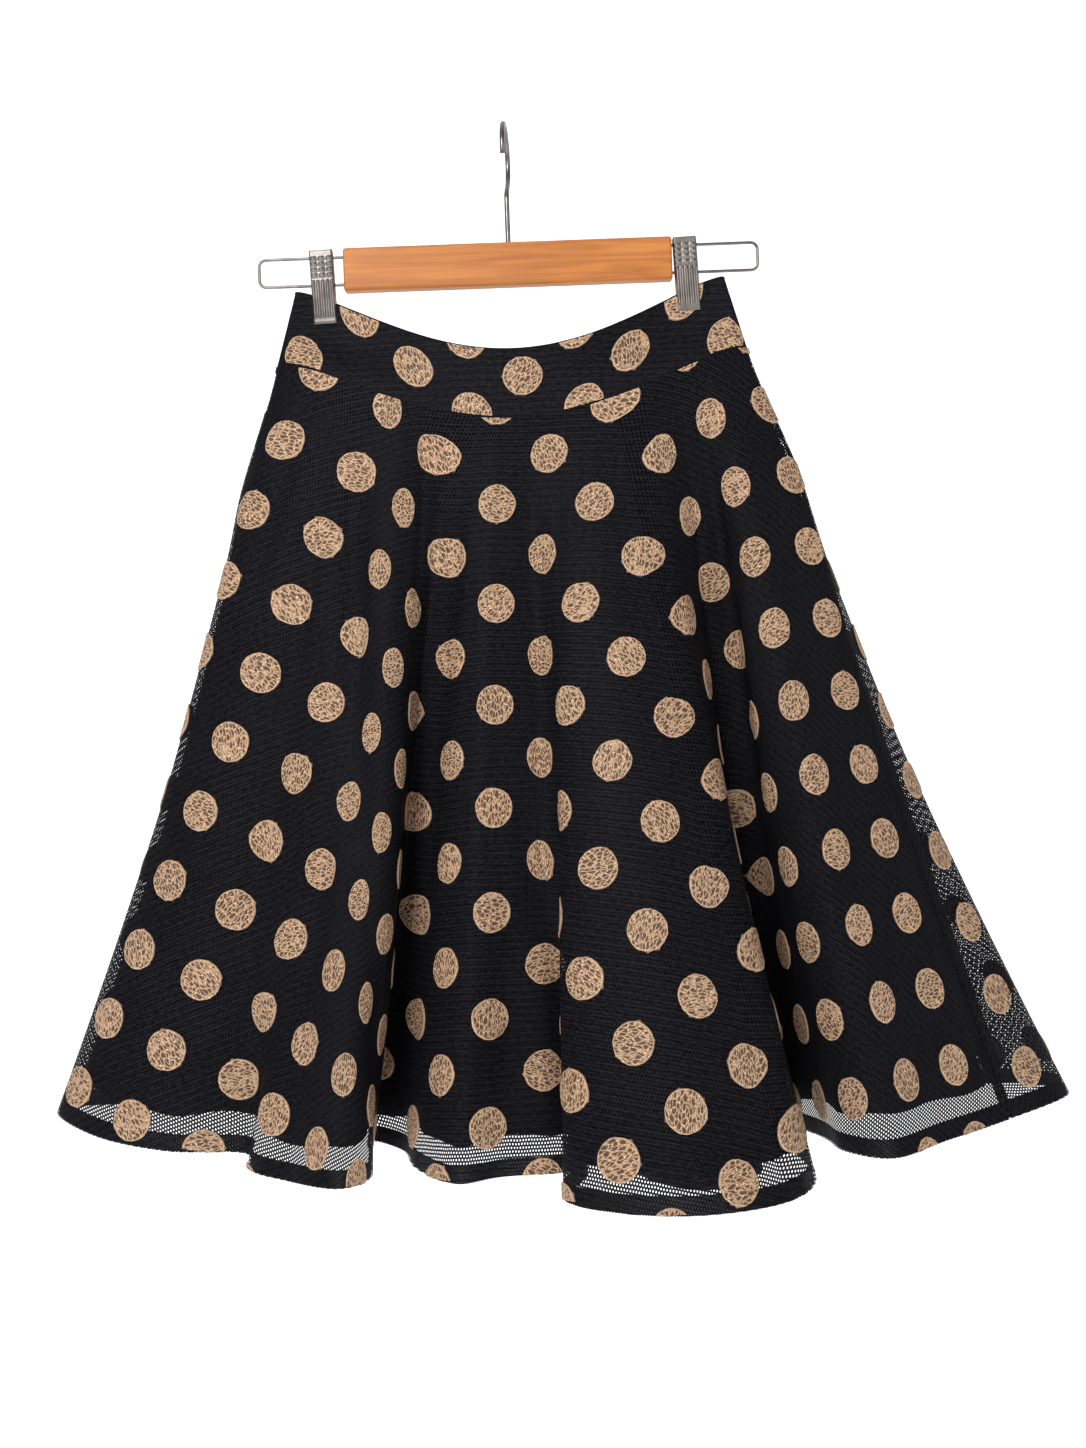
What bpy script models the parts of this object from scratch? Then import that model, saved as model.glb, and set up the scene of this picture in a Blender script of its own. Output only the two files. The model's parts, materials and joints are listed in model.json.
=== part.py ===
"""Half-circle skirt of dotted net over an opaque lining, hung by its waistband from a bar hanger.

Metres, +Z up. The front of the skirt faces -Y and +X is on the right as seen from the front.
The origin is the inside top of the hanger's hook, where the rail would touch it.
Every cloth piece is a wall between two faces worked out from three closed rings in plan:
the waist edge, the seam under the waistband, and the hem with its folds.
"""

import bisect
import math
from collections import namedtuple

import bmesh
import bpy
from mathutils import Vector

# Waistband: half widths, fullness from front to back, heights and how far the middle sags
WAIST_HALF_WIDTH = 0.1567
WAIST_BULGE = 0.024
WAIST_BULGE_POWER = 1.4
WAIST_END_ROUND = 0.0030
WAIST_END_LENGTH = 0.0105
WAIST_END_Z = -0.1155
WAIST_SAG = 0.0515
SEAM_HALF_WIDTH = 0.1714
SEAM_BULGE = 0.028
SEAM_END_Z = -0.1671
SEAM_SAG = 0.0492
SAG_POWER = 1.6

# Cloth thicknesses and the gaps between pieces
NET_WALL = 0.0010
HEM_WALL = 0.0018
BAND_WALL = 0.0020
LINING_WALL = 0.0010
PIECE_GAP = 0.0003
LINING_GAP_TOP = 0.0003
LINING_GAP_BELOW = 0.0030
LINING_GAP_GROWS_TO = 0.12

# Skirt: how the sides curve outward on the way down, the turned-up hem and the shorter lining
SKIRT_LENGTH = 0.555
BAND_LENGTH = 0.050
LINING_TOP_DROP = 0.0009
FLARE_CURVE = 0.14
HEM_BAND_SHARE = 0.978
LINING_END_SHARE = 0.953
LINING_NARROWS_FROM = 0.30
LINING_EDGE_SHARE = 0.84
LINING_NARROWING_LEFT = 0.16
LINING_NARROWING_RIGHT = 0.58

# Hanger: a wooden bar, a wire loop at each end, a swivel hook and two spring clips
BAR_LEFT = -0.1206
BAR_RIGHT = 0.1188
BAR_CENTRE_Z = -0.1004
BAR_HEIGHT = 0.0314
BAR_DEPTH = 0.0120
BAR_BEVEL = 0.0022
DRILL_OVERRUN = 0.004
LOOP_WIRE = 0.0022
LOOP_END_LEFT = -0.1834
LOOP_END_RIGHT = 0.1826
LOOP_HALF_HEIGHT = 0.0100
LOOP_CORNER = 0.0050
LOOP_SOCKET = 0.0150
HOOK_WIRE = 0.0036
HOOK_RADIUS = 0.0220
HOOK_TURN = math.radians(4)
HOOK_TIP_ANGLE = math.radians(-15)
HOOK_THROAT_ANGLE = math.radians(-50)
HOOK_SOCKET = 0.0140
CLIP_LEFT_X = -0.1360
CLIP_RIGHT_X = 0.1292
CLIP_WIDTH = 0.0173
CLIP_LENGTH = 0.0540
CLIP_TOP_Z = -0.0850
CLIP_PLATE = 0.0012
CLIP_LEAN = math.radians(2)
CLIP_ZONE = 0.0120
CLIP_CORNER = 0.0015
PINCH_REACH = 0.42
PINCH_FREE = 0.040
SPRING_HEIGHT = 0.0270
SPRING_WIDTH = 0.0150

# Half thickness of the pinched waistband: its wall and half the gap between front and back
PINCH_HALF = BAND_WALL + PIECE_GAP / 2

# How finely the cloth is divided
RING_STEPS = 20
BAND_EDGE_STEPS = 400
FAIR_STEPS = 600
COLUMN_LENGTH = 0.024
COLUMN_BEND = math.radians(24)
PANEL_COLUMNS = 76
BAND_COLUMNS = 48
BAND_END_STEPS = (0.0006, 0.0013, 0.0021, 0.0031, 0.0044)
SLOPE_STEP = 0.0012
SLOPE_DROP = 0.01
SKIRT_ROWS = (0.0, 0.12, 0.3, 0.5, 0.7, 0.88, HEM_BAND_SHARE, 1.0)
LINING_ROWS = (0.0, 0.12, 0.3, 0.5, 0.7, 0.88, LINING_END_SHARE)
BAND_ROWS = (0.0, PINCH_REACH, 0.7, 1.0)

# The hem seen from above, in millimetres: across, towards the back, and down from the hook.
# Rows go along the front from the left side seam to the right one, then back along the rear.
Fold = namedtuple("Fold", "name across back down")
FRONT_FOLDS = (
    Fold("left side seam", -312, 68, 717),
    Fold("left edge", -354, 6, 707),
    Fold("first fold, outer", -316, -30, 718),
    Fold("first fold, middle", -262, -47, 726),
    Fold("first fold, inner", -206, -47, 730),
    Fold("second fold, outer", -200, -73, 734),
    Fold("second fold, shoulder", -170, -99, 736),
    Fold("second fold, crest", -132, -115, 738),
    Fold("second fold, edge", -110, -84, 738),
    Fold("first valley", -124, -4, 735),
    Fold("first valley, wall", -99, -28, 736),
    Fold("third fold, outer", -86, -72, 738),
    Fold("third fold, crest", -56, -106, 740),
    Fold("third fold, middle", -24, -92, 740),
    Fold("third fold, inner", 6, -90, 740),
    Fold("second valley", 27, -84, 741),
    Fold("fourth fold, outer", 13, -134, 744),
    Fold("fourth fold, shoulder", 46, -166, 745),
    Fold("fourth fold, crest", 100, -179, 745),
    Fold("fourth fold, inner", 158, -156, 745),
    Fold("fourth fold, edge", 182, -116, 743),
    Fold("third valley", 173, -6, 738),
    Fold("third valley, wall", 194, -30, 735),
    Fold("fifth fold, outer", 207, -78, 735),
    Fold("fifth fold, crest", 236, -101, 735),
    Fold("fifth fold, inner", 278, -76, 731),
)
BACK_FOLDS = (
    Fold("right side seam", 330, -50, 724),
    Fold("right edge", 383, -12, 716),
    Fold("right edge, rear", 366, 30, 718),
    Fold("rear first fold", 318, 88, 730),
    Fold("rear first fold, inner", 268, 98, 734),
    Fold("rear first valley", 230, 72, 734),
    Fold("rear second fold", 196, 100, 740),
    Fold("nested fold, right root", 160, 62, 742),
    Fold("nested fold, right wall", 152, -26, 743),
    Fold("nested fold, right", 146, -94, 744),
    Fold("nested fold, crest", 122, -124, 744),
    Fold("nested fold, front", 96, -124, 744),
    Fold("nested fold, step", 74, -86, 743),
    Fold("nested fold, left", 56, -60, 743),
    Fold("nested fold, left wall", 50, 8, 742),
    Fold("rear third fold, outer", 34, 92, 744),
    Fold("rear third fold", -4, 122, 743),
    Fold("rear fourth fold", -62, 124, 742),
    Fold("rear fourth valley", -118, 90, 737),
    Fold("rear fifth fold", -174, 106, 734),
    Fold("rear fifth valley", -224, 82, 728),
    Fold("rear sixth fold", -270, 86, 724),
)


def blend(low, high, share):
    """Return the value that lies this share of the way from low to high."""
    return low + (high - low) * share


def ease(share):
    """Return a share from 0 to 1 that starts and ends gently."""
    held = min(max(share, 0.0), 1.0)
    return held * held * (3.0 - 2.0 * held)


class Ring:
    """A closed ring of cloth, read by turn: 0 at the left side seam, 0.5 at the right one."""

    def __init__(self, front, rear):
        """Measure the two halves of the ring, each a list of points from seam to seam."""
        self.halves = []
        for points in (front, rear):
            lengths = [0.0]
            for before, after in zip(points, points[1:]):
                lengths.append(lengths[-1] + (after.xy - before.xy).length)
            self.halves.append((points, lengths))

    def half_length(self, half):
        """Return the length in plan of the front (0) or the rear (1)."""
        return self.halves[half][1][-1]

    def at(self, turn):
        """Return the point of the ring at a turn."""
        doubled = (turn % 1.0) * 2.0
        half = int(doubled)
        points, lengths = self.halves[half]
        sought = (doubled - half) * lengths[-1]
        index = min(max(bisect.bisect_right(lengths, sought), 1), len(points) - 1)
        step = lengths[index] - lengths[index - 1]
        return points[index - 1].lerp(points[index], (sought - lengths[index - 1]) / step)


def curved_between(points, start, steps):
    """Return the points of a centripetal curve from one row to the next, the last left out."""
    near = [points[(start + offset) % len(points)] for offset in (-1, 0, 1, 2)]
    knots = [0.0]
    for before, after in zip(near, near[1:]):
        knots.append(knots[-1] + math.sqrt((after - before).length))
    curve = []
    for step in range(steps):
        knot = blend(knots[1], knots[2], step / steps)
        level = near
        for degree in (1, 2, 3):
            joined = []
            for i in range(4 - degree):
                low, high = (knots[1], knots[2]) if degree == 3 else (knots[i], knots[i + degree])
                joined.append(level[i].lerp(level[i + 1], (knot - low) / (high - low)))
            level = joined
        curve.append(level[0])
    return curve


def hem_ring():
    """Return the hem's ring from the two tables of folds."""
    rows = FRONT_FOLDS + BACK_FOLDS
    points = [Vector((row.across, row.back, -row.down)) / 1000 for row in rows]
    whole = []
    for start in range(len(points)):
        whole.extend(curved_between(points, start, RING_STEPS))
    split = len(FRONT_FOLDS) * RING_STEPS
    return Ring(whole[: split + 1], whole[split:] + whole[:1])


def sag(across, half_width, end_z, depth):
    """Return the height of a band edge that hangs lowest in its middle."""
    share = min(abs(across) / half_width, 1.0)
    return end_z - depth * (1.0 - share * share) ** SAG_POWER


def seam_ring():
    """Return the ring of the seam under the waistband, a flat ellipse that sags."""
    halves = []
    for start in (math.pi, 0.0):
        half = []
        for step in range(BAND_EDGE_STEPS + 1):
            angle = start + math.pi * step / BAND_EDGE_STEPS
            across = SEAM_HALF_WIDTH * math.cos(angle)
            height = sag(across, SEAM_HALF_WIDTH, SEAM_END_Z, SEAM_SAG)
            half.append(Vector((across, SEAM_BULGE * math.sin(angle), height)))
        halves.append(half)
    return Ring(*halves)


def waist_half_depth(across):
    """Return half the depth of the waist from front to back, pinched where the clips hold it."""
    inner_left = CLIP_LEFT_X + CLIP_ZONE
    inner_right = CLIP_RIGHT_X - CLIP_ZONE
    if inner_left < across < inner_right:
        middle = (inner_left + inner_right) / 2
        share = (across - middle) / (inner_right - middle)
        return PINCH_HALF + (WAIST_BULGE - PINCH_HALF) * (1.0 - share * share) ** WAIST_BULGE_POWER
    left = WAIST_HALF_WIDTH - abs(across)
    if left < WAIST_END_ROUND:
        return math.sqrt(WAIST_END_ROUND**2 - (WAIST_END_ROUND - left) ** 2)
    share = (left - WAIST_END_ROUND) / (WAIST_END_LENGTH - WAIST_END_ROUND)
    return blend(WAIST_END_ROUND, PINCH_HALF, ease(share))


def waist_ring():
    """Return the ring of the waist edge."""
    halves = []
    for start, side in ((math.pi, -1.0), (0.0, 1.0)):
        half = []
        for step in range(BAND_EDGE_STEPS + 1):
            across = WAIST_HALF_WIDTH * math.cos(start + math.pi * step / BAND_EDGE_STEPS)
            height = sag(across, WAIST_HALF_WIDTH, WAIST_END_Z, WAIST_SAG)
            half.append(Vector((across, side * waist_half_depth(across), height)))
        halves.append(half)
    return Ring(*halves)


class Drape:
    """The outer face of the hanging cloth and faces moved inward from it."""

    def __init__(self):
        self.waist = waist_ring()
        self.seam = seam_ring()
        self.hem = hem_ring()

    def band(self, turn, share):
        """Return a point of the waistband, from its upper edge (0) to the seam (1)."""
        top = self.waist.at(turn)
        bottom = self.seam.at(turn)
        held = PINCH_REACH * ease((abs(top.x) - PINCH_FREE) / (CLIP_RIGHT_X - CLIP_ZONE - PINCH_FREE))
        place = top.lerp(bottom, share)
        place.y = blend(top.y, bottom.y, blend(share, ease((share - held) / (1 - held)), ease(held * 4)))
        return place

    def skirt(self, turn, share):
        """Return a point of the skirt, from the seam (0) to the hem (1)."""
        top = self.seam.at(turn)
        bottom = self.hem.at(turn)
        outward = blend(share, share * share, FLARE_CURVE)
        place = top.lerp(bottom, outward)
        place.z = blend(top.z, bottom.z, share)
        return place

    def inward(self, face, turn, share):
        """Return the unit direction that points into the skirt from a face."""
        along = face(turn + SLOPE_STEP, share) - face(turn - SLOPE_STEP, share)
        low = min(share + SLOPE_DROP, 1.0)
        down = face(turn, low) - face(turn, low - SLOPE_DROP)
        return along.cross(down).normalized()

    def moved(self, face, turn, share, depth):
        """Return a face's point moved inward by a depth."""
        return face(turn, share) + self.inward(face, turn, share) * depth

    def lining(self, turn, share, depth):
        """Return a point of the lining, whose sides stand in from the net lower down."""
        gap = blend(LINING_GAP_TOP, LINING_GAP_BELOW, ease(share / LINING_GAP_GROWS_TO))
        place = self.moved(self.skirt, turn, share, NET_WALL + gap + depth)
        right = place.x > 0
        edge = BACK_FOLDS[1].across if right else -FRONT_FOLDS[1].across
        outward = blend(share, share * share, FLARE_CURVE)
        free = LINING_EDGE_SHARE * blend(SEAM_HALF_WIDTH, edge / 1000, outward)
        over = abs(place.x) - free
        if over > 0:
            most = LINING_NARROWING_RIGHT if right else LINING_NARROWING_LEFT
            lower = ease((share - LINING_NARROWS_FROM) / (1 - LINING_NARROWS_FROM))
            across = free + over * (1 - most * lower)
            place.x = math.copysign(across, place.x)
        return place


def fair_turns(drape, half, count):
    """Return turns along one half of the skirt, closer together where the hem bends."""
    fine = FAIR_STEPS
    effort = [0.0]
    points = [drape.hem.at((half + step / fine) / 2) for step in range(fine + 1)]
    for i in range(fine):
        ahead = (points[i + 1] - points[i]).xy
        behind = (points[i] - points[max(i - 1, 0)]).xy
        bend = abs(ahead.angle_signed(behind, 0.0)) if behind.length > 0 else 0.0
        effort.append(effort[-1] + ahead.length / COLUMN_LENGTH + bend / COLUMN_BEND)
    turns = []
    for column in range(count + 1):
        sought = effort[-1] * column / count
        index = min(max(bisect.bisect_right(effort, sought), 1), fine)
        part = (sought - effort[index - 1]) / (effort[index] - effort[index - 1])
        turns.append((half + (index - 1 + part) / fine) / 2)
    return turns


def seam_gap_turn(ring, half):
    """Return how much turn half a piece gap takes along a ring."""
    return PIECE_GAP / 2 / ring.half_length(half) / 2


def material(name, colour, roughness, metallic):
    """Return a plain material."""
    made = bpy.data.materials.new(name)
    made.use_nodes = True
    shader = made.node_tree.nodes["Principled BSDF"]
    shader.inputs["Base Color"].default_value = (*colour, 1.0)
    shader.inputs["Roughness"].default_value = roughness
    shader.inputs["Metallic"].default_value = metallic
    return made


def finish(mesh, name, made):
    """Turn a bmesh into a named object with a material."""
    bmesh.ops.recalc_face_normals(mesh, faces=mesh.faces[:])
    data = bpy.data.meshes.new(name)
    mesh.to_mesh(data)
    mesh.free()
    data.materials.append(made)
    piece = bpy.data.objects.new(name, data)
    bpy.context.scene.collection.objects.link(piece)
    return piece


def cloth_wall(name, made, turns, rows, outer, inner):
    """Make a closed wall of cloth between an outer and an inner face."""
    mesh = bmesh.new()
    bmesh.ops.create_grid(mesh, x_segments=len(turns) - 1, y_segments=len(rows) - 1, size=0.5)
    places = []
    for point in mesh.verts:
        column = round((point.co.x + 0.5) * (len(turns) - 1))
        row = round((point.co.y + 0.5) * (len(rows) - 1))
        places.append((point, turns[column], rows[row]))
    grown = bmesh.ops.extrude_face_region(mesh, geom=mesh.faces[:])
    for point in grown["geom"]:
        if isinstance(point, bmesh.types.BMVert):
            column = round((point.co.x + 0.5) * (len(turns) - 1))
            row = round((point.co.y + 0.5) * (len(rows) - 1))
            point.co = inner(turns[column], rows[row])
    for point, turn, row in places:
        point.co = outer(turn, row)
    piece = finish(mesh, name, made)
    piece.data.shade_smooth()
    piece.data.set_sharp_from_angle(angle=math.radians(50))
    return piece


def panel_turns(turns, margin):
    """Return turns whose two ends stand back by a margin, so that two panels don't touch."""
    return [turns[0] + margin] + turns[1:-1] + [turns[-1] - margin]


def make_skirt(drape, half, name, made):
    """Make one net panel, thicker at its turned-up hem."""
    margin = seam_gap_turn(drape.seam, half)
    turns = panel_turns(fair_turns(drape, half, PANEL_COLUMNS), margin)
    rows = (PIECE_GAP / 2 / SKIRT_LENGTH,) + SKIRT_ROWS[1:]

    def inner(turn, share):
        wall = HEM_WALL if share >= HEM_BAND_SHARE else NET_WALL
        return drape.moved(drape.skirt, turn, share, wall)

    return cloth_wall(name, made, turns, rows, drape.skirt, inner)


def make_lining(drape, half, name, made):
    """Make one lining panel, just inside the net and shorter."""
    margin = seam_gap_turn(drape.seam, half)
    turns = panel_turns(fair_turns(drape, half, PANEL_COLUMNS), margin)
    rows = (LINING_TOP_DROP / SKIRT_LENGTH,) + LINING_ROWS[1:]

    def outer(turn, share):
        return drape.lining(turn, share, 0.0)

    def inner(turn, share):
        return drape.lining(turn, share, LINING_WALL)

    return cloth_wall(name, made, turns, rows, outer, inner)


def make_band(drape, half, name, made):
    """Make the front or rear of the shaped waistband."""
    margin = seam_gap_turn(drape.waist, half)
    even = [(half + column / BAND_COLUMNS) / 2 for column in range(BAND_COLUMNS + 1)]
    ends = [length / drape.waist.half_length(half) / 2 for length in BAND_END_STEPS]
    first = [even[0] + step for step in ends]
    last = [even[-1] - step for step in reversed(ends)]
    turns = panel_turns(even[:1] + first + even[1:-1] + last + even[-1:], margin)
    bottom = 1.0 - PIECE_GAP / 2 / BAND_LENGTH
    rows = BAND_ROWS[:-1] + (bottom,)

    def inner(turn, share):
        return drape.moved(drape.band, turn, share, BAND_WALL)

    return cloth_wall(name, made, turns, rows, drape.band, inner)


def rounded_box(name, made, size, bevel):
    """Make a box about the origin with bevelled edges."""
    mesh = bmesh.new()
    bmesh.ops.create_cube(mesh, size=1.0)
    bmesh.ops.scale(mesh, vec=Vector(size), verts=mesh.verts[:])
    if bevel > 0:
        bmesh.ops.bevel(
            mesh, geom=mesh.edges[:], offset=bevel, offset_type="OFFSET",
            affect="EDGES", segments=3, profile=0.5, material=-1,
        )
    return finish(mesh, name, made)


def drill(piece, start, end, diameter):
    """Cut a round hole in a piece from one point to another."""
    way = Vector(end) - Vector(start)
    mesh = bmesh.new()
    bmesh.ops.create_cone(
        mesh, cap_ends=True, segments=20, radius1=diameter / 2, radius2=diameter / 2,
        depth=way.length,
    )
    cutter = finish(mesh, piece.name + "_cutter", piece.data.materials[0])
    cutter.location = (Vector(start) + Vector(end)) / 2
    cutter.rotation_mode = "QUATERNION"
    cutter.rotation_quaternion = way.to_track_quat("Z", "Y")
    cutter.hide_render = True
    cutter.display_type = "WIRE"
    cut = piece.modifiers.new("hole", "BOOLEAN")
    cut.operation = "DIFFERENCE"
    cut.solver = "EXACT"
    cut.object = cutter


def wire(name, made, points, diameter, sides):
    """Make a round wire through points."""
    curve = bpy.data.curves.new(name, "CURVE")
    curve.dimensions = "3D"
    curve.bevel_depth = diameter / 2
    curve.bevel_resolution = sides
    curve.use_fill_caps = True
    spline = curve.splines.new("POLY")
    spline.points.add(len(points) - 1)
    for place, point in zip(spline.points, points):
        place.co = (*point, 1.0)
    curve.materials.append(made)
    piece = bpy.data.objects.new(name, curve)
    bpy.context.scene.collection.objects.link(piece)
    return piece


def make_bar(made):
    """Make the wooden bar with sockets for the loops and the hook."""
    length = BAR_RIGHT - BAR_LEFT
    bar = rounded_box("hanger_bar", made, (length, BAR_DEPTH, BAR_HEIGHT), BAR_BEVEL)
    bar.location = ((BAR_LEFT + BAR_RIGHT) / 2, 0.0, BAR_CENTRE_Z)
    hole = LOOP_WIRE + 2 * PIECE_GAP
    for end, way in ((BAR_LEFT, 1), (BAR_RIGHT, -1)):
        for side in (-1, 1):
            height = BAR_CENTRE_Z + side * LOOP_HALF_HEIGHT
            outside = Vector((end - way * DRILL_OVERRUN, 0.0, height))
            inside = Vector((end + way * (LOOP_SOCKET + PIECE_GAP), 0.0, height))
            drill(bar, outside, inside, hole)
    top = BAR_CENTRE_Z + BAR_HEIGHT / 2
    above = Vector((0.0, 0.0, top + DRILL_OVERRUN))
    below = Vector((0.0, 0.0, top - HOOK_SOCKET - PIECE_GAP))
    drill(bar, above, below, HOOK_WIRE + 2 * PIECE_GAP)
    return bar


def make_loop(name, made, bar_end, loop_end):
    """Make one wire loop, a flat U with round corners whose legs enter the bar."""
    way = math.copysign(1.0, loop_end - bar_end)
    far = loop_end - way * LOOP_WIRE / 2
    root = bar_end - way * LOOP_SOCKET
    points = []
    for side in (-1, 1):
        corner = []
        for step in range(6):
            angle = math.radians(90) * step / 5
            across = far - way * LOOP_CORNER * (1 - math.sin(angle))
            height = side * (LOOP_HALF_HEIGHT - LOOP_CORNER * (1 - math.cos(angle)))
            corner.append(Vector((across, 0.0, BAR_CENTRE_Z + height)))
        leg = Vector((root, 0.0, BAR_CENTRE_Z + side * LOOP_HALF_HEIGHT))
        half = [leg] + corner
        points.extend(half if side < 0 else reversed(half))
    return wire(name, made, points, LOOP_WIRE, 2)


def make_hook(made):
    """Make the swivel hook, a question mark of wire turned edge-on to the front."""
    centre = HOOK_WIRE / 2 - HOOK_RADIUS
    flat = []
    steps = 22
    sweep = math.pi - HOOK_TIP_ANGLE - HOOK_THROAT_ANGLE
    for step in range(steps + 1):
        angle = HOOK_TIP_ANGLE + sweep * step / steps
        flat.append((-HOOK_RADIUS * math.cos(angle), centre + HOOK_RADIUS * math.sin(angle)))
    throat_y, throat_z = flat[-1]
    bend = 8
    shank_z = throat_z - throat_y * 1.1
    for step in range(1, bend + 1):
        share = step / bend
        flat.append((throat_y * (1 - share) ** 2, blend(throat_z, shank_z, share ** 0.8)))
    bottom = BAR_CENTRE_Z + BAR_HEIGHT / 2 - HOOK_SOCKET
    for step in (1, 2):
        flat.append((0.0, blend(shank_z, bottom, step / 2)))
    points = []
    for across, height in flat:
        points.append(Vector((across * math.sin(HOOK_TURN), across * math.cos(HOOK_TURN), height)))
    return wire("hanger_hook", made, points, HOOK_WIRE, 3)


def make_clip(side, centre, nickel, steel):
    """Make one clip: two plates and, between them, the spring through which the loop passes."""
    middle = CLIP_TOP_Z - CLIP_LENGTH / 2
    face = PINCH_HALF + PIECE_GAP
    for name, way in (("front", -1), ("back", 1)):
        size = (CLIP_WIDTH, CLIP_PLATE, CLIP_LENGTH)
        plate = rounded_box(f"clip_{side}_{name}", nickel, size, 0.0)
        bend = plate.modifiers.new("corners", "BEVEL")
        bend.width = CLIP_CORNER / 4
        bend.segments = 2
        plate.location = (centre, way * (face + CLIP_PLATE / 2), middle)
        plate.rotation_euler = (0.0, -CLIP_LEAN, 0.0)
    size = (SPRING_WIDTH, 2 * PINCH_HALF, SPRING_HEIGHT)
    spring = rounded_box(f"clip_{side}_spring", steel, size, 0.0)
    spring.location = (centre, 0.0, BAR_CENTRE_Z)
    for level in (-1, 1):
        height = BAR_CENTRE_Z + level * LOOP_HALF_HEIGHT
        start = Vector((centre - SPRING_WIDTH, 0.0, height))
        end = Vector((centre + SPRING_WIDTH, 0.0, height))
        drill(spring, start, end, LOOP_WIRE + 2 * PIECE_GAP)


def main():
    """Build every piece."""
    for old in list(bpy.data.objects):
        bpy.data.objects.remove(old)
    net = material("net", (0.02, 0.02, 0.025), 0.7, 0.0)
    lining = material("lining", (0.008, 0.008, 0.01), 0.55, 0.0)
    wood = material("wood", (0.42, 0.20, 0.08), 0.35, 0.0)
    nickel = material("nickel", (0.62, 0.60, 0.56), 0.28, 1.0)
    steel = material("steel", (0.60, 0.60, 0.60), 0.25, 1.0)
    drape = Drape()
    for half, side in enumerate(("front", "back")):
        make_band(drape, half, f"waistband_{side}", net)
        make_skirt(drape, half, f"skirt_{side}", net)
        make_lining(drape, half, f"lining_{side}", lining)
    make_bar(wood)
    make_loop("loop_left", steel, BAR_LEFT, LOOP_END_LEFT)
    make_loop("loop_right", steel, BAR_RIGHT, LOOP_END_RIGHT)
    make_hook(steel)
    make_clip("left", CLIP_LEFT_X, nickel, steel)
    make_clip("right", CLIP_RIGHT_X, nickel, steel)


main()
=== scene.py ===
"""Looks of the dotted net skirt on its clip hanger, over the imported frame."""

import json
import logging
import math
import random
from collections import namedtuple
from dataclasses import dataclass, field
from enum import Enum
from functools import partial
from typing import Callable, Iterable, Optional, Sequence, Union

import bmesh
import bpy
import numpy as np
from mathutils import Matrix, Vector

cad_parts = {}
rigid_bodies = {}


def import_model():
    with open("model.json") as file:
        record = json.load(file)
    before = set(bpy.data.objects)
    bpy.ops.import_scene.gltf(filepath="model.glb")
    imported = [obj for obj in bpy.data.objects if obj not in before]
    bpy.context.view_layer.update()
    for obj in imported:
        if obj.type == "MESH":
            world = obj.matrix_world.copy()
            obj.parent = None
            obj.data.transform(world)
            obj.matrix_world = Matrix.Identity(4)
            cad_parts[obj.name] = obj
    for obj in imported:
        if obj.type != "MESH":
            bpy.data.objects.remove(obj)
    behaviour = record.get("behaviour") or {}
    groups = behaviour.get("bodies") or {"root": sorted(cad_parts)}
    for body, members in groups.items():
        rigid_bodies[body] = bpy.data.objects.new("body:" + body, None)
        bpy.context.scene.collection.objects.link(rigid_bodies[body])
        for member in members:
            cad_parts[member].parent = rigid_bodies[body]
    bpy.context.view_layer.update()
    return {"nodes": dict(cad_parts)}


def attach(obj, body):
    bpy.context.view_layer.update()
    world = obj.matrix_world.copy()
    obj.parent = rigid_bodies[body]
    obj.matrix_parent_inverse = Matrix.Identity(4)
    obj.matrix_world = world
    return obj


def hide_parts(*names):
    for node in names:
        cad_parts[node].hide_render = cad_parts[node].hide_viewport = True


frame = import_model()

LOG = logging.getLogger("skirt")

Fold = namedtuple("Fold", "name across back down")
Crease = namedtuple("Crease", "name turn slant width depth start end")
BandDot = namedtuple("BandDot", "name across share")
Slip = namedtuple("Slip", "name turn angle length")
Softened = namedtuple("Softened", "name turn width reach start")

# The hem seen from above, in millimetres: across, towards the back, and down from the hook.
FRONT_FOLDS = (
    Fold("left side seam", -312, 68, 717),
    Fold("left edge", -354, 6, 707),
    Fold("first fold, outer", -316, -30, 718),
    Fold("first fold, middle", -262, -47, 726),
    Fold("first fold, inner", -206, -47, 730),
    Fold("second fold, outer", -200, -73, 734),
    Fold("second fold, shoulder", -170, -99, 736),
    Fold("second fold, crest", -132, -115, 738),
    Fold("second fold, edge", -110, -84, 738),
    Fold("first valley", -124, -4, 735),
    Fold("first valley, wall", -99, -28, 736),
    Fold("third fold, outer", -86, -72, 738),
    Fold("third fold, crest", -56, -106, 740),
    Fold("third fold, middle", -24, -92, 740),
    Fold("third fold, inner", 6, -90, 740),
    Fold("second valley", 27, -84, 741),
    Fold("fourth fold, outer", 13, -134, 744),
    Fold("fourth fold, shoulder", 46, -166, 745),
    Fold("fourth fold, crest", 100, -179, 745),
    Fold("fourth fold, inner", 158, -156, 745),
    Fold("fourth fold, edge", 182, -116, 743),
    Fold("third valley", 173, -6, 738),
    Fold("third valley, wall", 194, -30, 735),
    Fold("fifth fold, outer", 207, -78, 735),
    Fold("fifth fold, crest", 236, -101, 735),
    Fold("fifth fold, inner", 278, -76, 731),
)
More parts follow.
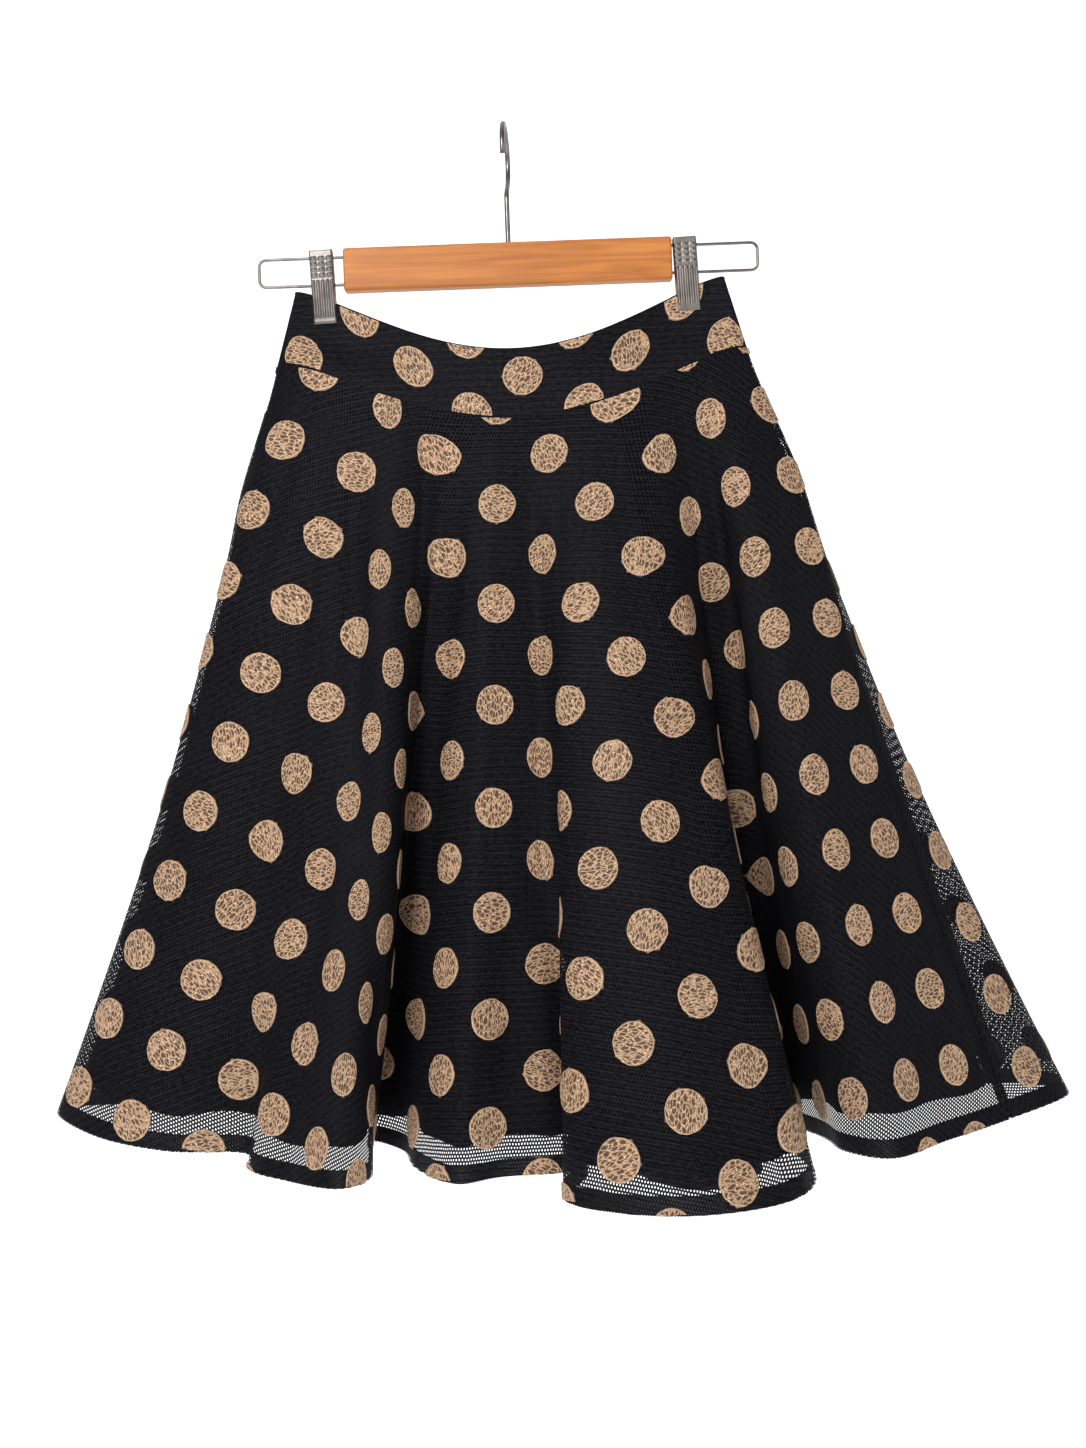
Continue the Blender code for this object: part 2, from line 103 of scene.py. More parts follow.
BACK_FOLDS = (
    Fold("right side seam", 330, -50, 724),
    Fold("right edge", 383, -12, 716),
    Fold("right edge, rear", 366, 30, 718),
    Fold("rear first fold", 318, 88, 730),
    Fold("rear first fold, inner", 268, 98, 734),
    Fold("rear first valley", 230, 72, 734),
    Fold("rear second fold", 196, 100, 740),
    Fold("nested fold, right root", 160, 62, 742),
    Fold("nested fold, right wall", 152, -26, 743),
    Fold("nested fold, right", 146, -94, 744),
    Fold("nested fold, crest", 122, -124, 744),
    Fold("nested fold, front", 96, -124, 744),
    Fold("nested fold, step", 74, -86, 743),
    Fold("nested fold, left", 56, -60, 743),
    Fold("nested fold, left wall", 50, 8, 742),
    Fold("rear third fold, outer", 34, 92, 744),
    Fold("rear third fold", -4, 122, 743),
    Fold("rear fourth fold", -62, 124, 742),
    Fold("rear fourth valley", -118, 90, 737),
    Fold("rear fifth fold", -174, 106, 734),
    Fold("rear fifth valley", -224, 82, 728),
    Fold("rear sixth fold", -270, 86, 724),
)

# Soft troughs (negative depth) and ridges in the cloth: turn round the skirt at the seam, how far
# the crease drifts in turn on its way down, its half width in turn, depth in mm, and where it lies.
CREASES = (
    Crease("under left clip", 0.052, 0.004, 0.006, -1.3, 0.00, 0.34),
    Crease("left flute", 0.092, -0.004, 0.007, 1.1, 0.02, 0.46),
    Crease("left of centre", 0.163, 0.005, 0.005, -1.2, 0.00, 0.30),
    Crease("centre flute", 0.214, 0.003, 0.008, 1.0, 0.05, 0.55),
    Crease("right of centre", 0.292, -0.006, 0.006, -1.1, 0.00, 0.36),
    Crease("right flute", 0.352, -0.003, 0.007, 1.2, 0.02, 0.42),
    Crease("under right clip", 0.441, -0.004, 0.006, -1.4, 0.00, 0.33),
    Crease("first valley", 0.096, 0.064, 0.011, -7.0, 0.00, 1.00),
    Crease("second valley", 0.262, 0.012, 0.011, -5.0, 0.00, 1.00),
    Crease("third valley", 0.430, -0.020, 0.009, -12.0, 0.00, 1.00),
    Crease("low ripple left", 0.110, 0.006, 0.005, -1.5, 0.55, 1.00),
    Crease("low ripple middle", 0.300, -0.004, 0.007, 1.3, 0.50, 1.00),
    Crease("low ripple right", 0.430, 0.005, 0.006, -1.4, 0.58, 1.00),
    Crease("rear under right clip", 0.560, 0.004, 0.006, -1.3, 0.00, 0.34),
    Crease("rear right flute", 0.640, -0.005, 0.007, 1.2, 0.02, 0.44),
    Crease("rear centre", 0.736, 0.004, 0.006, -1.2, 0.00, 0.38),
    Crease("rear left flute", 0.842, 0.005, 0.007, 1.1, 0.04, 0.50),
    Crease("rear under left clip", 0.944, -0.004, 0.006, -1.4, 0.00, 0.32),
    Crease("rear right valley", 0.590, 0.012, 0.010, -7.0, 0.00, 1.00),
    Crease("rear middle valley", 0.775, -0.010, 0.010, -7.0, 0.00, 1.00),
    Crease("rear left valley", 0.900, 0.010, 0.010, -7.0, 0.00, 1.00),
    Crease("rear low ripple", 0.690, 0.005, 0.006, 1.4, 0.52, 1.00),
)

# Folds whose edge is softer higher up than at the hem: where, how wide, how far it is evened out
# in turns, and the share of the way down where the edge begins to sharpen.
SOFTENED = (
    Softened("second fold, outer", 0.108, 0.030, 0.026, 0.70),
    Softened("fourth fold, outer", 0.266, 0.028, 0.018, 0.55),
)
SOFT_SAMPLES = (-1.0, -0.6, -0.2, 0.2, 0.6, 1.0)

# How the cut cloth lies on the folds: at these turns it runs ahead by an angle, in degrees, and its
# rulings are longer than the straight ones, in mm, where the folds take up more or less of it.
SLIPS = (
    Slip("left side seam", 0.00, -1.0, -6),
    Slip("first fold", 0.06, -0.8, -9),
    Slip("second fold", 0.12, -1.1, -3),
    Slip("first valley", 0.16, 3.6, 8),
    Slip("third fold", 0.21, 0.8, 4),
    Slip("second valley", 0.26, 1.4, 9),
    Slip("fourth fold", 0.31, 1.3, -2),
    Slip("fourth fold, crest", 0.35, 1.8, -8),
    Slip("fourth fold, edge", 0.38, -0.6, -3),
    Slip("third valley", 0.41, 0.1, 6),
    Slip("fifth fold", 0.45, 2.0, -5),
    Slip("right side seam", 0.50, 4.2, 0),
)

# Dots on the waistband, which is cut on its own grain: place across in mm, share of the way down.
BAND_DOTS = (
    BandDot("left corner", -151, 0.86),
    BandDot("left of middle", -71, 0.48),
    BandDot("middle", 7, 0.41),
    BandDot("right of middle", 85, 0.46),
    BandDot("right corner", 155, 0.84),
    BandDot("by left clip", -110, 0.02),
    BandDot("upper left", -33, -0.10),
    BandDot("upper right", 46, -0.14),
    BandDot("by right clip", 126, 0.06),
    BandDot("lower left", -30, 0.96),
    BandDot("lower right", 50, 0.98),
)


class Panel(Enum):
    """The two halves of the skirt; the value is where the half starts, in turns."""

    FRONT = 0.0
    BACK = 0.5

    @property
    def word(self) -> str:
        """Return the half's name in node names."""
        return self.name.lower()

    @property
    def index(self) -> int:
        """Return 0 for the front and 1 for the back."""
        return int(self.value * 2)


Number = Union[float, np.ndarray]


def blend(low: Number, high: Number, share: Number) -> Number:
    """Return the value that lies this share of the way from low to high."""
    return low + (high - low) * share


def ease(share: Number) -> Number:
    """Return shares from 0 to 1 that start and end gently."""
    held = np.clip(share, 0.0, 1.0)
    return held * held * (3.0 - 2.0 * held)


@dataclass(frozen=True)
class Sizes:
    """Driving sizes of the garment, in metres, and the shares and powers of its curves.

    The solids have the same ones, apart from the swell at the hips, the softened edges, the creases
    and how far the lining narrows on the left.
    """

    waist_half_width: float = 0.1567
    waist_bulge: float = 0.024
    waist_bulge_power: float = 1.4
    waist_end_round: float = 0.0030
    waist_end_length: float = 0.0105
    waist_end_z: float = -0.1155
    waist_sag: float = 0.0515
    seam_half_width: float = 0.1714
    seam_bulge: float = 0.028
    seam_end_z: float = -0.1671
    seam_sag: float = 0.0492
    sag_power: float = 1.6
    flare_curve: float = 0.14
    softened_over: float = 0.25
    hip_swell: float = 0.0145
    hip_swell_full: float = 0.2
    hip_swell_fades_from: float = 0.3
    hip_swell_fades_over: float = 0.35
    hip_swell_fading: float = 0.6
    left_edge: float = -FRONT_FOLDS[1].across / 1000
    right_edge: float = BACK_FOLDS[1].across / 1000
    crease_margin: float = 0.35
    crease_lead: float = 0.02
    ripple_height: float = 0.0004
    hem_band_share: float = 0.978
    lining_end_share: float = 0.953
    lining_narrows_from: float = 0.30
    lining_edge_share: float = 0.84
    lining_narrowing_left: float = 0.10
    lining_narrowing_right: float = 0.58
    lining_top_gap: float = 0.0013
    lining_gap: float = 0.0030
    lining_gap_over: float = 0.12
    lining_ragged_share: float = 0.003
    band_depth: float = 0.050
    clip_left_x: float = -0.1360
    clip_right_x: float = 0.1292
    clip_zone: float = 0.0120
    pinch_reach: float = 0.42
    pinch_free: float = 0.040
    pinch_half: float = 0.00215
    cut_half_angle: float = math.radians(47)
    cut_top_radius: float = 0.2085
    cut_side_rise: float = 0.0017
    cut_hem_radius: float = 0.790


SIZES = Sizes()


def flare(shares: np.ndarray) -> np.ndarray:
    """Return how far out the cloth has come at shares of the way down."""
    return blend(shares, shares**2, SIZES.flare_curve)


class Ring:
    """A closed ring of cloth, read by turn: 0 at the left side seam, 0.5 at the right one."""

    def __init__(self, front: np.ndarray, rear: np.ndarray) -> None:
        """Measure the ring.

        Args:
            front: Points of the front half, from the left seam to the right one.
            rear: Points of the rear half, back again.
        """
        self.halves = []
        for points in (front, rear):
            steps = np.linalg.norm(np.diff(points[:, :2], axis=0), axis=1)
            lengths = np.concatenate([[0.0], np.cumsum(steps)])
            self.halves.append((points, lengths / lengths[-1]))

    def at(self, turns: np.ndarray) -> np.ndarray:
        """Return the ring's points at turns.

        Args:
            turns: An array of turns of any shape.

        Returns:
            Points, with one more axis of three numbers.
        """
        turns = np.asarray(turns, float)
        doubled = np.mod(turns, 1.0) * 2.0
        rear = doubled >= 1.0
        made = np.empty(turns.shape + (3,))
        for half, chosen in ((0, ~rear), (1, rear)):
            points, lengths = self.halves[half]
            sought = doubled[chosen] - half
            for axis in range(3):
                made[chosen, axis] = np.interp(sought, lengths, points[:, axis])
        return made


def curved_ring(rows: Sequence[Fold], steps: int = 60) -> np.ndarray:
    """Return a closed centripetal curve through the rows of a fold table, in metres.

    Args:
        rows: The folds in order round the hem.
        steps: How many points lie between two rows.

    Returns:
        The points of the curve, from the first row on.
    """
    points = np.array([(row.across, row.back, -row.down) for row in rows], float) / 1000
    made = []
    for start in range(len(points)):
        near = [points[(start + offset) % len(points)] for offset in (-1, 0, 1, 2)]
        knots = [0.0]
        for before, after in zip(near, near[1:]):
            knots.append(knots[-1] + math.sqrt(np.linalg.norm(after - before)))
        knot = blend(knots[1], knots[2], np.arange(steps) / steps)[:, None]
        level = [np.repeat(point[None, :], steps, axis=0) for point in near]
        for degree in (1, 2, 3):
            joined = []
            for i in range(4 - degree):
                low, high = (knots[1], knots[2]) if degree == 3 else (knots[i], knots[i + degree])
                joined.append(blend(level[i], level[i + 1], (knot - low) / (high - low)))
            level = joined
        made.append(level[0])
    return np.concatenate(made)


class Drape:
    """The outer face of the hanging cloth: the solids' straight rulings, with swollen hips."""

    def __init__(self) -> None:
        """Work out the rings of the waist, the seam and the hem."""
        steps = 60
        whole = curved_ring(FRONT_FOLDS + BACK_FOLDS, steps)
        split = len(FRONT_FOLDS) * steps
        self.hem = Ring(whole[: split + 1], np.concatenate([whole[split:], whole[:1]]))
        self.seam = self.band_edge(
            SIZES.seam_half_width, SIZES.seam_end_z, SIZES.seam_sag, self.seam_half_depth
        )
        self.waist = self.band_edge(
            SIZES.waist_half_width, SIZES.waist_end_z, SIZES.waist_sag, self.waist_half_depth
        )

    @staticmethod
    def seam_half_depth(across: np.ndarray) -> np.ndarray:
        """Return half the depth of the waist seam from front to back."""
        share = across / SIZES.seam_half_width
        return SIZES.seam_bulge * np.sqrt(np.clip(1.0 - share**2, 0.0, 1.0))

    @staticmethod
    def waist_half_depth(across: np.ndarray) -> np.ndarray:
        """Return half the depth of the waist edge, pinched where the clips hold it.

        Args:
            across: Places across, in metres.

        Returns:
            Half depths, in metres.
        """
        inner_left = SIZES.clip_left_x + SIZES.clip_zone
        inner_right = SIZES.clip_right_x - SIZES.clip_zone
        middle = (inner_left + inner_right) / 2
        share = (across - middle) / (inner_right - middle)
        lens = np.clip(1.0 - share**2, 0.0, 1.0) ** SIZES.waist_bulge_power
        between = blend(SIZES.pinch_half, SIZES.waist_bulge, lens)
        left = SIZES.waist_half_width - np.abs(across)
        part = (left - SIZES.waist_end_round) / (SIZES.waist_end_length - SIZES.waist_end_round)
        ends = blend(SIZES.waist_end_round, SIZES.pinch_half, ease(part))
        inside = np.clip(SIZES.waist_end_round - left, 0.0, SIZES.waist_end_round)
        ends = np.where(part < 0, np.sqrt(SIZES.waist_end_round**2 - inside**2), ends)
        free = (across > inner_left) & (across < inner_right)
        return np.where(free, between, ends)

    @staticmethod
    def band_edge(half_width: float, end_z: float, depth: float, half_depth: Callable) -> Ring:
        """Return the ring of one edge of the waistband.

        Args:
            half_width: Half the ring's width.
            end_z: Height of its two ends.
            depth: How far its middle sags.
            half_depth: A function of place across, giving half the depth.

        Returns:
            The ring.
        """
        halves = []
        for start, side in ((math.pi, -1.0), (0.0, 1.0)):
            across = half_width * np.cos(start + np.linspace(0.0, math.pi, 801))
            share = np.clip(np.abs(across) / half_width, 0.0, 1.0)
            height = end_z - depth * (1.0 - share**2) ** SIZES.sag_power
            halves.append(np.stack([across, side * half_depth(across), height], axis=-1))
        return Ring(*halves)

    def band(self, turns: np.ndarray, shares: np.ndarray) -> np.ndarray:
        """Return points of the waistband, from its upper edge (0) to the seam (1).

        Args:
            turns: Turns round the skirt.
            shares: Shares of the way down.

        Returns:
            Places, in metres.
        """
        top = self.waist.at(turns)
        bottom = self.seam.at(turns)
        span = SIZES.clip_right_x - SIZES.clip_zone - SIZES.pinch_free
        held = SIZES.pinch_reach * ease((np.abs(top[..., 0]) - SIZES.pinch_free) / span)
        made = blend(top, bottom, shares[..., None])
        late = ease((shares - held) / (1 - held))
        outward = blend(shares, late, ease(held * 4))
        made[..., 1] = blend(top[..., 1], bottom[..., 1], outward)
        return made

    def skirt(self, turns: np.ndarray, shares: np.ndarray) -> np.ndarray:
        """Return points of the skirt, from the seam (0) to the hem (1).

        Args:
            turns: Turns round the skirt.
            shares: Shares of the way down.

        Returns:
            Places, in metres.
        """
        top = self.seam.at(turns)
        reach = np.zeros(np.broadcast(turns, shares).shape)
        for row in SOFTENED:
            near = np.exp(-(((turns - row.turn) / row.width) ** 2))
            reach += row.reach * near * (1.0 - ease((shares - row.start) / SIZES.softened_over))
        bottom = sum(self.hem.at(turns + way * reach) for way in SOFT_SAMPLES) / len(SOFT_SAMPLES)
        outward = flare(shares)
        made = blend(top, bottom, outward[..., None])
        made[..., 2] = blend(top[..., 2], bottom[..., 2], shares)
        edge = np.where(made[..., 0] < 0.0, SIZES.left_edge, SIZES.right_edge)
        side = np.abs(made[..., 0]) / blend(SIZES.seam_half_width, edge, outward)
        swell = SIZES.hip_swell * self.hip_share(shares) * np.clip(side, 0.0, 1.0) ** 3
        made[..., 0] += np.sign(made[..., 0]) * swell
        return made

    @staticmethod
    def hip_share(shares: np.ndarray) -> np.ndarray:
        """Return how much of the swell at the hips there is at shares of the way down."""
        rise = ease(shares / SIZES.hip_swell_full)
        fade = ease((shares - SIZES.hip_swell_fades_from) / SIZES.hip_swell_fades_over)
        return rise * (1.0 - SIZES.hip_swell_fading * fade) * (1.0 - shares)

    def inward(self, face: Callable, turns: np.ndarray, shares: np.ndarray) -> np.ndarray:
        """Return unit directions that point into the skirt from a face.

        Args:
            face: Gives places for turns and shares.
            turns: Turns round the skirt.
            shares: Shares of the way down.
        """
        turn_step, share_step = 0.0012, 0.01
        along = face(turns + turn_step, shares) - face(turns - turn_step, shares)
        low = np.minimum(shares + share_step, 1.0)
        down = face(turns, low) - face(turns, low - share_step)
        made = np.cross(along, down)
        return made / np.linalg.norm(made, axis=-1, keepdims=True)

    def relief(self, turns: np.ndarray, shares: np.ndarray) -> np.ndarray:
        """Return how far the creases raise the skirt's face, in metres.

        Args:
            turns: Turns round the skirt.
            shares: Shares of the way down.

        Returns:
            Heights, in metres.
        """
        made = np.zeros(np.broadcast(turns, shares).shape)
        for row in CREASES:
            off = turns - row.turn - row.slant * shares
            across = np.exp(-((off / row.width) ** 2))
            margin = SIZES.crease_margin * (row.end - row.start)
            rise = ease((shares - row.start + SIZES.crease_lead) / margin)
            fall = 1.0 if row.end >= 1.0 else ease((row.end - shares) / margin)
            made += row.depth / 1000 * across * rise * fall
        full = turns * 2 * math.pi
        ripple = np.sin(full * 23 + 5 * shares) * np.sin(full * 9 + 1.7)
        return made + SIZES.ripple_height * ripple * ease(shares * 2)

    def cloth(self, turns: np.ndarray, shares: np.ndarray, depth: Number) -> np.ndarray:
        """Return the creased skirt moved inward by a depth.

        Args:
            turns: Turns round the skirt.
            shares: Shares of the way down.
            depth: How far inward, in metres.

        Returns:
            Places, in metres.
        """
        sunk = np.asarray(depth - self.relief(turns, shares))[..., None]
        return self.skirt(turns, shares) + self.inward(self.skirt, turns, shares) * sunk

    def belt(self, turns: np.ndarray, shares: np.ndarray, depth: Number) -> np.ndarray:
        """Return the waistband moved inward by a depth."""
        sunk = np.asarray(depth)[..., None] * np.ones(shares.shape + (1,))
        return self.band(turns, shares) + self.inward(self.band, turns, shares) * sunk

    def lining(self, turns: np.ndarray, shares: np.ndarray) -> np.ndarray:
        """Return the lining, whose sides stand in from the net lower down and whose end is ragged.

        Args:
            turns: Turns round the skirt.
            shares: Shares of the way down.

        Returns:
            Places, in metres.
        """
        full = turns * 2 * math.pi
        ragged = np.sin(full * 19) + 0.7 * np.sin(full * 43 + 1.0)
        shares = shares * (1.0 + SIZES.lining_ragged_share * ragged)
        gap = SIZES.lining_gap * ease(shares / SIZES.lining_gap_over) + SIZES.lining_top_gap
        made = self.cloth(turns, shares, gap)
        lower = ease((shares - SIZES.lining_narrows_from) / (1 - SIZES.lining_narrows_from))
        for side, edge, most in (
            (1.0, SIZES.right_edge, SIZES.lining_narrowing_right),
            (-1.0, SIZES.left_edge, SIZES.lining_narrowing_left),
        ):
            free = SIZES.lining_edge_share * blend(SIZES.seam_half_width, edge, flare(shares))
            over = np.maximum(made[..., 0] * side - free, 0.0)
            made[..., 0] -= side * over * most * lower
        return made


class Cut:
    """The flat pattern of a skirt panel: angle from its middle and radius from the waist's centre."""

    def __init__(self, drape: Drape) -> None:
        """Lay the panels out flat.

        Args:
            drape: Where the cloth hangs.
        """
        self.drape = drape
        self.fine = np.linspace(0.0, 0.5, 501)
        even = (self.fine * 4 - 1) * SIZES.cut_half_angle
        self.fine_angles = {
            panel: even + np.radians(self.slip(panel, self.fine, "angle")) for panel in Panel
        }

    @staticmethod
    def slip(panel: Panel, turns: np.ndarray, field: str) -> np.ndarray:
        """Return how far the front's cloth has slipped from an even fall. The back falls evenly.

        Args:
            panel: The panel that the turns lie on.
            turns: Turns from the panel's first edge.
            field: The field of a Slip to read.

        Returns:
            The slips, in degrees or in millimetres.
        """
        if panel is Panel.BACK:
            return np.zeros_like(turns)
        return np.interp(turns, [row.turn for row in SLIPS], [getattr(row, field) for row in SLIPS])

    @staticmethod
    def top_radius(angles: np.ndarray) -> np.ndarray:
        """Return the radius of the waist seam at angles from the panel's middle."""
        return SIZES.cut_top_radius - SIZES.cut_side_rise * (angles / SIZES.cut_half_angle) ** 2

    def length(self, panel: Panel, turns: np.ndarray) -> np.ndarray:
        """Return the length of a panel from seam to hem."""
        straight = np.linalg.norm(self.drape.hem.at(turns) - self.drape.seam.at(turns), axis=-1)
        return straight + self.slip(panel, turns - panel.value, "length") / 1000

    def turns(self, panel: Panel, angles: np.ndarray) -> np.ndarray:
        """Return the turns of angles on a panel."""
        return panel.value + np.interp(angles, self.fine_angles[panel], self.fine)

    def angles(self, panel: Panel, turns: np.ndarray) -> np.ndarray:
        """Return the angles of turns on a panel."""
        return np.interp(turns - panel.value, self.fine, self.fine_angles[panel])

    def flat(self, panel: Panel, turns: np.ndarray, shares: np.ndarray) -> np.ndarray:
        """Return the flat place of points, with the middle of the circle as origin.

        Args:
            panel: The panel that they lie on.
            turns: Turns round the skirt.
            shares: Shares of the way down.

        Returns:
            Flat places, in metres.
        """
        angles = self.angles(panel, turns)
        radius = self.top_radius(angles) + shares * self.length(panel, turns)
        return np.stack([radius * np.sin(angles), -radius * np.cos(angles)], axis=-1)

    def placed(self, panel: Panel, flat: np.ndarray) -> tuple:
        """Return the turns and shares of flat places on a panel.

        Args:
            panel: The panel that they lie on.
            flat: Places with the middle of the circle as origin.

        Returns:
            Turns, and shares of the way down.
        """
        angles = np.arctan2(flat[..., 0], -flat[..., 1])
        radius = np.hypot(flat[..., 0], flat[..., 1])
        turns = self.turns(panel, angles)
        margin = 1e-6
        turns = np.clip(turns, panel.value + margin, panel.value + 0.5 - margin)
        return turns, (radius - self.top_radius(angles)) / self.length(panel, turns)


class Wire:
    """A socket of a shader tree, or a number, that ordinary operators work on."""

    def __init__(self, tree: bpy.types.NodeTree, socket: object) -> None:
        """Keep a socket and the tree that it is in."""
        self.tree = tree
        self.socket = socket

    def _math(self, operation: str, first: object, second: object = None) -> "Wire":
        """Return a Math node's result.

        Args:
            operation: What the node does.
            first: A wire or a number.
            second: Another, or none.

        Returns:
            The wire of the result.
        """
        node = self.tree.nodes.new("ShaderNodeMath")
        node.operation = operation
        for place, value in zip(node.inputs, (first, second)):
            if isinstance(value, Wire):
                self.tree.links.new(value.socket, place)
            elif value is not None:
                place.default_value = value
        return Wire(self.tree, node.outputs[0])

    def __add__(self, other: object) -> "Wire":
        """Return the sum."""
        return self._math("ADD", self, other)

    def __radd__(self, other: object) -> "Wire":
        """Return the sum of a number and this."""
        return self._math("ADD", other, self)

    def __sub__(self, other: object) -> "Wire":
        """Return the difference."""
        return self._math("SUBTRACT", self, other)

    def __rsub__(self, other: object) -> "Wire":
        """Return the difference of a number and this."""
        return self._math("SUBTRACT", other, self)

    def __mul__(self, other: object) -> "Wire":
        """Return the product."""
        return self._math("MULTIPLY", self, other)

    def __rmul__(self, other: object) -> "Wire":
        """Return the product of a number and this."""
        return self._math("MULTIPLY", other, self)

    def __truediv__(self, other: object) -> "Wire":
        """Return the quotient."""
        return self._math("DIVIDE", self, other)

    def __rtruediv__(self, other: object) -> "Wire":
        """Return the quotient of a number and this."""
        return self._math("DIVIDE", other, self)

    def __pow__(self, other: object) -> "Wire":
        """Return the power."""
        return self._math("POWER", self, other)

    def apply(self, operation: str, other: object = None) -> "Wire":
        """Return the result of any other Math operation on this socket."""
        return self._math(operation, self, other)

    def between(self, low: float, high: float, start: float = 0.0, end: float = 1.0) -> "Wire":
        """Return this value mapped smoothly from one range to another, and clamped.

        Args:
            low: The value that gives the start.
            high: The value that gives the end.
            start: What the low value gives.
            end: What the high value gives.

        Returns:
            The wire of the mapped value.
        """
        node = self.tree.nodes.new("ShaderNodeMapRange")
        node.interpolation_type = "SMOOTHSTEP"
        self.tree.links.new(self.socket, node.inputs["Value"])
        for name, value in (("From Min", low), ("From Max", high), ("To Min", start), ("To Max", end)):
            node.inputs[name].default_value = value
        return Wire(self.tree, node.outputs["Result"])


class Shader:
    """A material in the making: a Principled surface and helpers for its nodes."""

    def __init__(self, name: str) -> None:
        """Start a material with its own name."""
        self.material = bpy.data.materials.new(name)
        self.material.use_nodes = True
        self.tree = self.material.node_tree
        self.surface = self.tree.nodes["Principled BSDF"]

    def node(self, kind: str, inputs: Optional[dict] = None, **settings: object) -> bpy.types.Node:
        """Add a node of any kind.

        Args:
            kind: The node's Blender type.
            inputs: Values or wires by socket name.
            settings: Properties of the node.

        Returns:
            The node.
        """
        made = self.tree.nodes.new(kind)
        for name, value in settings.items():
            setattr(made, name, value)
        for name, value in (inputs or {}).items():
            self.feed(made, name, value)
        return made

    def feed(self, node: bpy.types.Node, name: Union[str, int], value: object) -> None:
        """Give a node's input a value or a wire.

        Args:
            node: The node.
            name: The socket's name or number.
            value: A wire or a value.
        """
        if isinstance(value, Wire):
            self.tree.links.new(value.socket, node.inputs[name])
        else:
            node.inputs[name].default_value = value

    def set(self, **inputs: object) -> None:
        """Give the Principled surface values or wires, with _ for a space in a name."""
        for name, value in inputs.items():
            self.feed(self.surface, name.replace("_", " "), value)

    def wire(self, node: bpy.types.Node, output: Union[str, int] = 0) -> Wire:
        """Return one of a node's outputs."""
        return Wire(self.tree, node.outputs[output])

    def uv(self, name: str) -> Wire:
        """Return a UV map of the mesh."""
        return self.wire(self.node("ShaderNodeUVMap", uv_map=name), "UV")

    def place(self) -> Wire:
        """Return the place in the object, in metres."""
        return self.wire(self.node("ShaderNodeTexCoord"), "Object")

    def parts(self, vector: Wire) -> tuple:
        """Return a vector's three numbers."""
        node = self.node("ShaderNodeSeparateXYZ", {"Vector": vector})
        return self.wire(node, "X"), self.wire(node, "Y"), self.wire(node, "Z")

    def joined(self, x: object, y: object, z: object = 0.0) -> Wire:
        """Return a vector of three numbers."""
        return self.wire(self.node("ShaderNodeCombineXYZ", {"X": x, "Y": y, "Z": z}))

    def scaled(self, vector: Wire, by: Sequence[float]) -> Wire:
        """Return a vector multiplied part by part."""
        node = self.node("ShaderNodeVectorMath", {0: vector, 1: tuple(by)}, operation="MULTIPLY")
        return self.wire(node)

    def moved(self, vector: Wire, by: Wire) -> Wire:
        """Return the sum of two vectors."""
        return self.wire(self.node("ShaderNodeVectorMath", {0: vector, 1: by}, operation="ADD"))

    def noise(self, vector: Wire, scale: float, detail: float = 3.0, roughness: float = 0.5) -> Wire:
        """Return a noise value from 0 to 1.

        Args:
            vector: Where the noise is read.
            scale: Its scale.
            detail: How many finer layers it has.
            roughness: How strong they are.

        Returns:
            The wire of the value.
        """
        inputs = {"Vector": vector, "Scale": scale, "Detail": detail, "Roughness": roughness}
        return self.wire(self.node("ShaderNodeTexNoise", inputs), 0)

    def drift(self, vector: Wire, scale: float, reach: float) -> Wire:
        """Return a vector moved about by a noise of a given reach.

        Args:
            vector: The vector.
            scale: The noise's scale.
            reach: How far it moves.

        Returns:
            The wire of the moved vector.
        """
        inputs = {"Vector": vector, "Scale": scale, "Detail": 2.0}
        colour = self.wire(self.node("ShaderNodeTexNoise", inputs), "Color")
        centred = self.node("ShaderNodeVectorMath", {0: colour, 1: (0.5, 0.5, 0.5)}, operation="SUBTRACT")
        return self.moved(vector, self.scaled(self.wire(centred), (reach, reach, reach)))

    def mix(self, share: object, first: object, second: object) -> Wire:
        """Return a mix of two colours.

        Args:
            share: How much of the second there is.
            first: A wire or a colour.
            second: Another wire or colour.

        Returns:
            The wire of the colour.
        """
        node = self.node("ShaderNodeMix", data_type="RGBA")
        self.feed(node, 0, share)
        for index, value in ((6, first), (7, second)):
            self.feed(node, index, value if isinstance(value, Wire) else (*value, 1.0))
        return self.wire(node, 2)

    def bump(self, height: Wire, distance: float, strength: float = 1.0) -> None:
        """Raise the surface by a height from 0 to 1, over a distance in metres.

        Args:
            height: The wire of the height.
            distance: The distance.
            strength: How strong it is.
        """
        inputs = {"Height": height, "Distance": distance, "Strength": strength}
        self.set(Normal=self.wire(self.node("ShaderNodeBump", inputs)))


